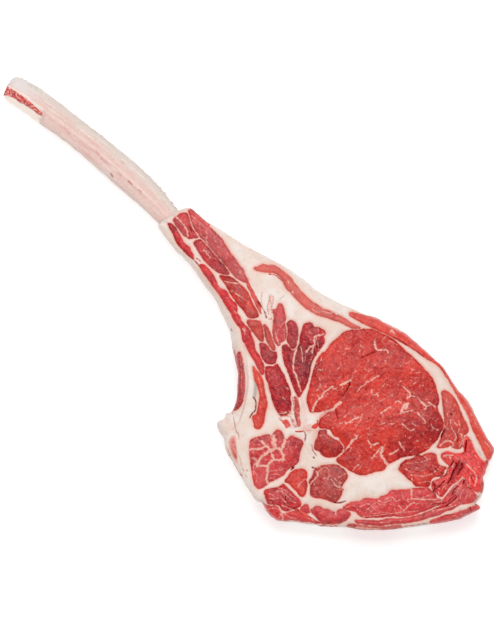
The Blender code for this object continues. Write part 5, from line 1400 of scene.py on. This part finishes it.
def fleshMaterial(name, look):
    # lean or fat at each point as it was painted, with the dark fibre lines and painted shade of the
    # seams and clefts on top
    material, tree, shader = newMaterial(name)
    place = addNode(tree, "ShaderNodeTexCoord").outputs["Object"]
    grain = addNode(tree, "ShaderNodeMapping", {
        "Vector": place, "Rotation": (0, 0, look["grainTurn"]),
        "Scale": (look["grainStretch"], 1.0, 0.7)}).outputs[0]
    mottle = noise(tree, grain, look["grainSize"], 3.0, 0.62)
    broad = noise(tree, place, look["patchSize"], 3.0, 0.55)
    fine = noise(tree, place, look["fineSize"], 1.0, 0.5)
    edged = maths(tree, "ADD", attribute(tree, "fatShare"),
                  spread(tree, mottle, 0.25, 0.75, -look["frayed"], look["frayed"]))
    share = spread(tree, edged, 0.24, 0.86)
    colour = mixColour(tree, share, leanColour(tree, look, grain, mottle, broad, fine),
                       fatColour(tree, look, place, mottle, broad))
    # the dark attribute: the dark fibre lines, and painted shade at the seams and in the clefts
    dark = attribute(tree, "dark")
    colour = mixColour(tree, spread(tree, dark, 0.0, 0.6), colour, look["deepLeanAndShade"])
    colour = mixColour(tree, spread(tree, dark, 0.55, 1.0), colour, look["cleft"])
    gloss = spread(tree, share, 0.0, 1.0, look["leanGloss"], look["fatGloss"])
    tree.links.new(gloss, shader.inputs["Roughness"])
    height = maths(tree, "ADD", mottle, maths(tree, "MULTIPLY", share, 0.35))
    finishShader(tree, shader, colour, height, look["bumpStrength"], look["bumpHeight"], {
        "Specular IOR Level": look["specular"], "Subsurface Weight": look["glow"],
        "Subsurface Radius": (1.0, 0.35, 0.25), "Subsurface Scale": look["glowDepth"]})
    return material


# Muscles whose red differs from the eye's
leanKinds = {
    "crimsonLean": {
        "look": {"darkLean": (0.17, 0.003, 0.009), "brightLean": (0.63, 0.026, 0.029),
                 "paleLean": (0.62, 0.25, 0.24)},
        "muscles": ("marbled", "lower_left", "neck_left", "neck_centre", "neck_outer",
                    "neck_inner", "long_rib", "rib_side", "fan", "fan_centre", "fan_left",
                    "inner_short", "side_strip", "bottom_short", "bottom_small", "bottom_long",
                    "bottom_layer", "edge_strip", "corner_strip")},
    "freshLean": {
        "look": {"darkLean": (0.24, 0.002, 0.006), "brightLean": (0.83, 0.048, 0.046)},
        "muscles": ("lower_right",)},
}
leanMaterials = {}
for kind, chosen in leanKinds.items():
    kindMaterial = fleshMaterial(kind, {**flesh, **chosen["look"]})
    leanMaterials.update({name: kindMaterial for name in chosen["muscles"]})
leanMaterial = fleshMaterial("wetLean", flesh)
fatMaterial = fleshMaterial("firmFat", {**flesh, "bumpStrength": 0.3})
for index, name in enumerate(muscleNames):
    node = name + "_muscle"
    piece = makeFlesh(toWords(node) + "Flesh", index, node)
    piece.data.materials.append(leanMaterials.get(name, leanMaterial))
piece = makeFlesh("fatBody", fatRegion, "fat")
piece.data.materials.append(fatMaterial)
print("flesh made:", len(muscleNames) + 1, "pieces; fat has", len(piece.data.polygons), "faces")

# Rib bone with its slanting sawn tip
bone = {
    # centre, seen width, from the tip inwards
    "path": ((5.8, 84.2, 27.0), (28.4, 96.8, 29.4), (58.6, 118.5, 28.3), (88.6, 142.0, 27.2),
             (119.0, 167.3, 28.8), (149.2, 195.0, 27.4), (168.6, 216.0, 23.5),
             (182.0, 228.5, 18.5), (198.0, 243.5, 15.5), (204.5, 250.0, 13.0)),
    "height": 0.025, "centreHeight": 0.0195, "squareness": 2.5, "sides": 96, "rings": 420,
    "tipRound": 0.0055, "tipShare": 0.62, "cutAcross": 0.88, "cutUp": 0.475, "cutStart": 0.0047,
    "cutEnd": 0.0068, "cutLength": 0.032, "cutRunout": 0.0065, "cutRise": 0.012,
    "lumps": ((0.0016, 0.00014), (0.0034, 0.00022), (0.006, 0.00026), (0.022, 0.0005)),
    "shreds": 0.0009, "shredCells": (0.0045, 0.0012),   # scraps of membrane, upper edge
    "sawnFade": (0.027, 0.038),  # where the pale sawn face turns into the scraped bone
}
# Blood specks on the bone: half width in units, strength, points
boneMarks = (
    (0.8, 0.9, 110.3, 172.6, 112, 175.6), (0.9, 0.8, 128, 180.4, 131, 183.2),
    (0.8, 0.5, 138.3, 188.8, 140.6, 191.4), (0.7, 0.4, 95, 150, 98.5, 153),
    (0.7, 0.35, 117, 171.6, 120.5, 174.8), (0.6, 0.4, 66.5, 130.6, 69.5, 133),
    (0.6, 0.4, 121, 160.8, 123.5, 163), (0.8, 0.35, 100.5, 157.5, 106, 161.5),
)
marrow = {
    "halfWidth": 0.0046, "halfHeight": 0.0096, "shift": 0.0016, "length": 0.046,
    "sides": 80, "rings": 200, "standOut": 0.0005, "lumps": ((0.0011, 0.00034), (0.003, 0.0001)),
    "end": 0.0325, "endShare": 0.910, "point": 0.021, "ragged": 0.16,
    "bright": (0.74, 0.060, 0.050), "dark": (0.30, 0.010, 0.010), "pale": (0.92, 0.50, 0.43),
    "cellSize": 560.0, "fleckSize": 680.0,
}


def curveThrough(knots, share):
    # value and direction on a smooth curve through knots, share from 0 to 1
    knots = np.asarray(knots, float)
    last = len(knots) - 1
    at = np.minimum(np.asarray(share) * last, last - 1e-6)
    i = at.astype(int)
    t = (at - i)[:, None]
    a, b, c, d = (knots[np.clip(i + k, 0, last)] for k in (-1, 0, 1, 2))
    value = splineAt(a, b, c, d, t)
    slope = 0.5 * ((c - a) + 2 * (2 * a - 5 * b + 4 * c - d) * t
                   + 3 * (3 * b - a - 3 * c + d) * t ** 2)
    return value, slope


def boneStations(count, length=None):
    # evenly spaced places along the rib: centre, side direction, half width, length
    knots = np.array(bone["path"])
    knots = np.column_stack((toPart(knots[:, :2]), knots[:, 2] * unit / 2))
    fine, _ = curveThrough(knots, np.linspace(0, 1, 1201))
    walked = np.concatenate(([0], np.cumsum(np.hypot(*np.diff(fine[:, :2], axis=0).T))))
    along = np.linspace(0, length or walked[-1], count)
    share = np.interp(along, walked, np.linspace(0, 1, 1201))
    value, slope = curveThrough(knots, share)
    direction = slope[:, :2] / np.hypot(*slope[:, :2].T)[:, None]
    side = np.column_stack((direction[:, 1], -direction[:, 0]))
    return value[:, :2], side, value[:, 2], along, walked[-1]


def cutDepth(along):
    # how far the saw cut is from the middle of the bone, running out at its end
    depth = bone["cutStart"] + (bone["cutEnd"] - bone["cutStart"]) * along / bone["cutLength"]
    past = np.maximum(0, along - bone["cutLength"])
    return depth + bone["cutRise"] * (past / bone["cutRunout"]) ** 2


def roundSection(halfWidth, halfHeight, sides):
    # flattened oval sections, one row for each half width
    angle = np.arange(sides) * 2 * math.pi / sides
    power = 2 / bone["squareness"]
    across = halfWidth[:, None] * np.sign(np.cos(angle)) * np.abs(np.cos(angle)) ** power
    up = halfHeight[:, None] * np.sign(np.sin(angle)) * np.abs(np.sin(angle)) ** power
    return across, up


def cutSection(across, up, limit):
    # slide what is past the saw cut back onto it
    reach = across * bone["cutAcross"] + up * bone["cutUp"]
    over = np.maximum(0, reach - limit[:, None])
    return across - over * bone["cutAcross"], up - over * bone["cutUp"], over > 0


def tubeFaces(rings, sides):
    # quads round a tube, and its two ends
    faces = []
    for r in range(rings - 1):
        for k in range(sides):
            a, b = r * sides + k, r * sides + (k + 1) % sides
            faces.append((a, b, b + sides, a + sides))
    faces.append(tuple(range(sides))[::-1])
    faces.append(tuple(range((rings - 1) * sides, rings * sides)))
    return faces


def ribPiece():
    # the whole rib, with what its material reads at each point
    centre, side, halfWidth, along, total = boneStations(bone["rings"])
    near = np.minimum(along, total - along)
    t = np.clip(1 - near / bone["tipRound"], 0, 1)
    scale = bone["tipShare"] + (1 - bone["tipShare"]) * np.sqrt(1 - t * t)
    across, up = roundSection(halfWidth * scale, bone["height"] / 2 * scale, bone["sides"])
    across, up, cut = cutSection(across, up, cutDepth(along))
    places = np.stack((centre[:, 0, None] + side[:, 0, None] * across,
                       centre[:, 1, None] + side[:, 1, None] * across,
                       bone["centreHeight"] + up), -1)
    flat = places.reshape(-1, 3)
    middle = np.repeat(np.column_stack((centre, np.full(len(centre), bone["centreHeight"]))),
                       bone["sides"], axis=0)
    away = flat - middle
    away /= np.linalg.norm(away, axis=1)[:, None]
    push = sum(far * softNoise(flat, lump, 7.7) for lump, far in bone["lumps"])
    wideCell, fineCell = bone["shredCells"]
    shred = ease(softNoise(flat, wideCell, 3.3), 0.28, 0.6)
    shred *= ease(softNoise(flat, fineCell, 6.3), -0.2, 0.6)
    sideShare = (across / halfWidth[:, None]).ravel()
    push += bone["shreds"] * shred * ease(-sideShare, 0.75, 0.97)
    push *= np.where(cut.ravel(), 0.25, 1.0)
    flat = flat + away * push[:, None]
    blood = np.zeros(len(flat))
    for halfWide, strength, *line in boneMarks:
        gap = gapTo(flat[:, :2], toPart(line), False) / (halfWide * unit)
        blood = np.maximum(blood, strength * np.exp(-gap ** 2))
    layers = {
        "blood": blood,
        "boneSide": sideShare,
        "boneAlong": np.repeat(along, bone["sides"]),
        "sawn": (cut * (1 - ease(along, *bone["sawnFade"]))[:, None]).ravel(),
        "boneTop": (up / (bone["height"] / 2)).ravel(),
    }
    return makePiece("ribBoneShaft", flat, tubeFaces(bone["rings"], bone["sides"]), "rib_bone",
                     layers)


def marrowPiece():
    # the marrow shows where the saw cut opens the bone, down to a ragged point
    count = marrow["rings"]
    centre, side, _, along, _ = boneStations(count, marrow["length"])
    toEnd = np.clip((marrow["end"] - along) / marrow["point"], 0, 1)
    beyond = np.clip((along - marrow["end"]) / (marrow["length"] - marrow["end"]), 0, 0.96)
    taper = (marrow["endShare"] + (1 - marrow["endShare"]) * toEnd ** 2) * (1 - beyond)
    uneven = 1 + marrow["ragged"] * (0.3 + 0.7 * toEnd) * sum(
        softNoise(np.column_stack((along, 0 * along)), cell, 2.8) for cell in (0.0016, 0.0036))
    across, up = roundSection(marrow["halfWidth"] * taper * uneven, marrow["halfHeight"] * taper,
                              marrow["sides"])
    across += marrow["shift"]
    limit = cutDepth(along) + marrow["standOut"]
    across, up, cut = cutSection(across, up, limit)
    places = np.stack((centre[:, 0, None] + side[:, 0, None] * across,
                       centre[:, 1, None] + side[:, 1, None] * across,
                       bone["centreHeight"] + up), -1)
    flat = places.reshape(-1, 3)
    lift = sum(far * softNoise(flat, lump, 9.4) for lump, far in marrow["lumps"])
    lift = (lift * cut.ravel()).reshape(across.shape)
    out = np.stack((side[:, 0, None] * bone["cutAcross"] * lift,
                    side[:, 1, None] * bone["cutAcross"] * lift, bone["cutUp"] * lift), -1)
    flat = flat + out.reshape(-1, 3)
    return makePiece("marrowCore", flat, tubeFaces(count, marrow["sides"]), "marrow", {})


boneLook = {
    # bands across the bone from side to side; the darker first and last ones are painted shade of its
    # rounded edges
    "bands": ((0.0, (0.54, 0.45, 0.40)), (0.10, (0.60, 0.53, 0.475)), (0.20, (0.65, 0.54, 0.485)),
              (0.34, (0.64, 0.49, 0.435)), (0.45, (0.655, 0.46, 0.41)),
              (0.54, (0.73, 0.545, 0.495)), (0.63, (0.645, 0.44, 0.40)),
              (0.75, (0.71, 0.51, 0.465)), (0.87, (0.74, 0.54, 0.49)),
              (0.95, (0.66, 0.49, 0.44)), (1.0, (0.56, 0.42, 0.37))),
    "streak": (0.64, 0.20, 0.17), "pale": (0.79, 0.70, 0.66), "sawn": (0.90, 0.77, 0.69),
    "flank": (0.68, 0.53, 0.47), "blood": (0.34, 0.035, 0.035),
    "membrane": (0.68, 0.62, 0.605), "drab": (0.50, 0.47, 0.41),
    "streakStretch": (45.0, 7.0, 4.0), "threadStretch": (210.0, 17.0, 12.0), "fineSize": 620.0,
    "bumpStrength": 0.5, "bumpHeight": 0.0005,
}


def stretchedNoise(tree, places, stretch, detail):
    # streaks along the bone, from its own length, side and height
    stretched = {axis: maths(tree, "MULTIPLY", place, size)
                 for axis, place, size in zip("XYZ", places, stretch)}
    place = addNode(tree, "ShaderNodeCombineXYZ", stretched).outputs[0]
    return noise(tree, place, 1.0, detail, 0.6)


def bandAndEdgeShadeColour(tree, side):
    # bands of pink and cream across the bone, with painted shade darkening them towards both edges
    ramp = addNode(tree, "ShaderNodeValToRGB", {"Fac": spread(tree, side, -1, 1)})
    ramp.inputs[0].links[0].from_node.interpolation_type = "LINEAR"
    stops = ramp.color_ramp.elements
    while len(stops) < len(boneLook["bands"]):
        stops.new(0.5)
    for stop, (where, colour) in zip(stops, boneLook["bands"]):
        stop.position, stop.color = where, (*colour, 1)
    return ramp.outputs[0]


def boneMaterial():
    material, tree, shader = newMaterial("scrapedBone")
    place = addNode(tree, "ShaderNodeTexCoord").outputs["Object"]
    side, along = attribute(tree, "boneSide"), attribute(tree, "boneAlong")
    top = attribute(tree, "boneTop")
    streaks = stretchedNoise(tree, (along, side, top), boneLook["streakStretch"], 4.0)
    threads = stretchedNoise(tree, (along, side, top), boneLook["threadStretch"], 3.0)
    fine = noise(tree, place, boneLook["fineSize"], 3.0, 0.6)
    # the flank colour where the bone faces sideways or down, and the bands with their painted edge shade
    # on top
    colour = mixColour(tree, spread(tree, top, 0.0, 0.32), boneLook["flank"],
                       bandAndEdgeShadeColour(tree, side))
    middle = maths(tree, "MULTIPLY", spread(tree, side, -0.75, -0.25),
                   spread(tree, side, 1.0, 0.7))
    redStreaks = maths(tree, "MULTIPLY", spread(tree, streaks, 0.50, 0.70, 0.0, 0.42), middle)
    redThreads = maths(tree, "MULTIPLY", spread(tree, threads, 0.53, 0.72, 0.0, 0.40), middle)
    nearTip = maths(tree, "MULTIPLY", spread(tree, along, 0.034, 0.006, 0.0, 0.8),
                    spread(tree, side, 0.3, -0.3))
    drab = maths(tree, "MULTIPLY", spread(tree, along, 0.026, 0.018),
                 spread(tree, along, 0.010, 0.015))
    drab = maths(tree, "MULTIPLY", drab, spread(tree, side, -0.62, -0.8))
    drab = maths(tree, "MULTIPLY", drab, spread(tree, fine, 0.4, 0.6))
    sawn = maths(tree, "ADD", attribute(tree, "sawn"),
                 spread(tree, streaks, 0.3, 0.7, -0.35, 0.35))
    for share, tint in (
            (redStreaks, "streak"), (spread(tree, streaks, 0.47, 0.28, 0.0, 0.75), "pale"),
            (redThreads, "streak"), (spread(tree, threads, 0.47, 0.30, 0.0, 0.40), "drab"),
            (spread(tree, fine, 0.5, 0.75, 0.0, 0.24), "streak"),
            (spread(tree, fine, 0.48, 0.30, 0.0, 0.30), "pale"),
            (nearTip, "membrane"), (drab, "drab"), (attribute(tree, "blood"), "blood"),
            (spread(tree, sawn, 0.3, 0.8), "sawn")):
        colour = mixColour(tree, share, colour, boneLook[tint])
    finishShader(tree, shader, colour, maths(tree, "ADD", fine, threads),
                 boneLook["bumpStrength"], boneLook["bumpHeight"], {
                     "Roughness": 0.5, "Specular IOR Level": 0.35, "Subsurface Weight": 0.08,
                     "Subsurface Radius": (1.0, 0.6, 0.45), "Subsurface Scale": 0.002})
    return material


def marrowMaterial():
    material, tree, shader = newMaterial("redMarrow")
    place = addNode(tree, "ShaderNodeTexCoord").outputs["Object"]
    cells = noise(tree, place, marrow["cellSize"], 4.0, 0.7)
    flecked = noise(tree, place, marrow["fleckSize"], 2.0, 0.6)
    colour = mixColour(tree, spread(tree, cells, 0.44, 0.53), marrow["dark"], marrow["bright"])
    colour = mixColour(tree, spread(tree, flecked, 0.50, 0.62, 0.0, 0.9), colour, marrow["pale"])
    finishShader(tree, shader, colour, cells, 0.8, 0.0005,
                 {"Roughness": 0.45, "Specular IOR Level": 0.2})
    return material


ribPiece().data.materials.append(boneMaterial())
marrowPiece().data.materials.append(marrowMaterial())
print("rib bone and marrow made")

# Floor, light and camera
room = {"floorSize": 6.0, "floorColour": (0.74, 0.74, 0.74), "worldStrength": 0.64,
        "floorGlow": 0.47, "lampPower": 11.6, "lampSize": 0.5, "lampPlace": (-0.17, 0.27, 1.35)}
floorMesh = bpy.data.meshes.new("paleFloor")
half = room["floorSize"] / 2
floorMesh.from_pydata([(-half, -half, 0), (half, -half, 0), (half, half, 0), (-half, half, 0)],
                      [], [(0, 1, 2, 3)])
floor = bpy.data.objects.new("paleFloor", floorMesh)
bpy.context.scene.collection.objects.link(floor)
floorMaterial, _, floorShader = newMaterial("palePaper")
for key, value in {"Base Color": (*room["floorColour"], 1), "Emission Color": (1, 1, 1, 1),
                   "Emission Strength": room["floorGlow"], "Roughness": 0.9,
                   "Specular IOR Level": 0.1}.items():
    floorShader.inputs[key].default_value = value
floorMesh.materials.append(floorMaterial)

world = bpy.data.worlds.new("softRoom")
world.use_nodes = True
world.node_tree.nodes["Background"].inputs[0].default_value = (1, 1, 1, 1)
world.node_tree.nodes["Background"].inputs[1].default_value = room["worldStrength"]
bpy.context.scene.world = world
lampData = bpy.data.lights.new("softbox", "AREA")
lampData.shape, lampData.size, lampData.energy = "SQUARE", room["lampSize"], room["lampPower"]
lamp = bpy.data.objects.new("softbox", lampData)
lamp.location = room["lampPlace"]
lamp.rotation_mode = "QUATERNION"
lamp.rotation_quaternion = (Vector((0.05, 0, 0.02)) - lamp.location).to_track_quat("-Z", "Y")
bpy.context.scene.collection.objects.link(lamp)

shot = {"azimuth": 43.3, "elevation": 89.0, "distance": 3.4, "aim": (250, 312.5),
        "aimHeight": 0.045, "frameLongSide": 625, "sensor": 36.0}
turn, rise = math.radians(shot["azimuth"]), math.radians(shot["elevation"])
back = Vector((math.sin(turn) * math.cos(rise), -math.cos(turn) * math.cos(rise),
               math.sin(rise)))
cameraData = bpy.data.cameras.new("camera")
cameraData.sensor_width = shot["sensor"]
cameraData.lens = shot["sensor"] * shot["distance"] / (shot["frameLongSide"] * unit)
cameraData.clip_end = 20
camera = bpy.data.objects.new("camera", cameraData)
camera.location = Vector((*toPart(shot["aim"])[0], shot["aimHeight"])) + back * shot["distance"]
camera.rotation_mode = "QUATERNION"
camera.rotation_quaternion = (-back).to_track_quat("-Z", "Y")
bpy.context.scene.collection.objects.link(camera)
bpy.context.scene.camera = camera
bpy.context.scene.view_settings.view_transform = "Standard"
print("floor, light and camera set")
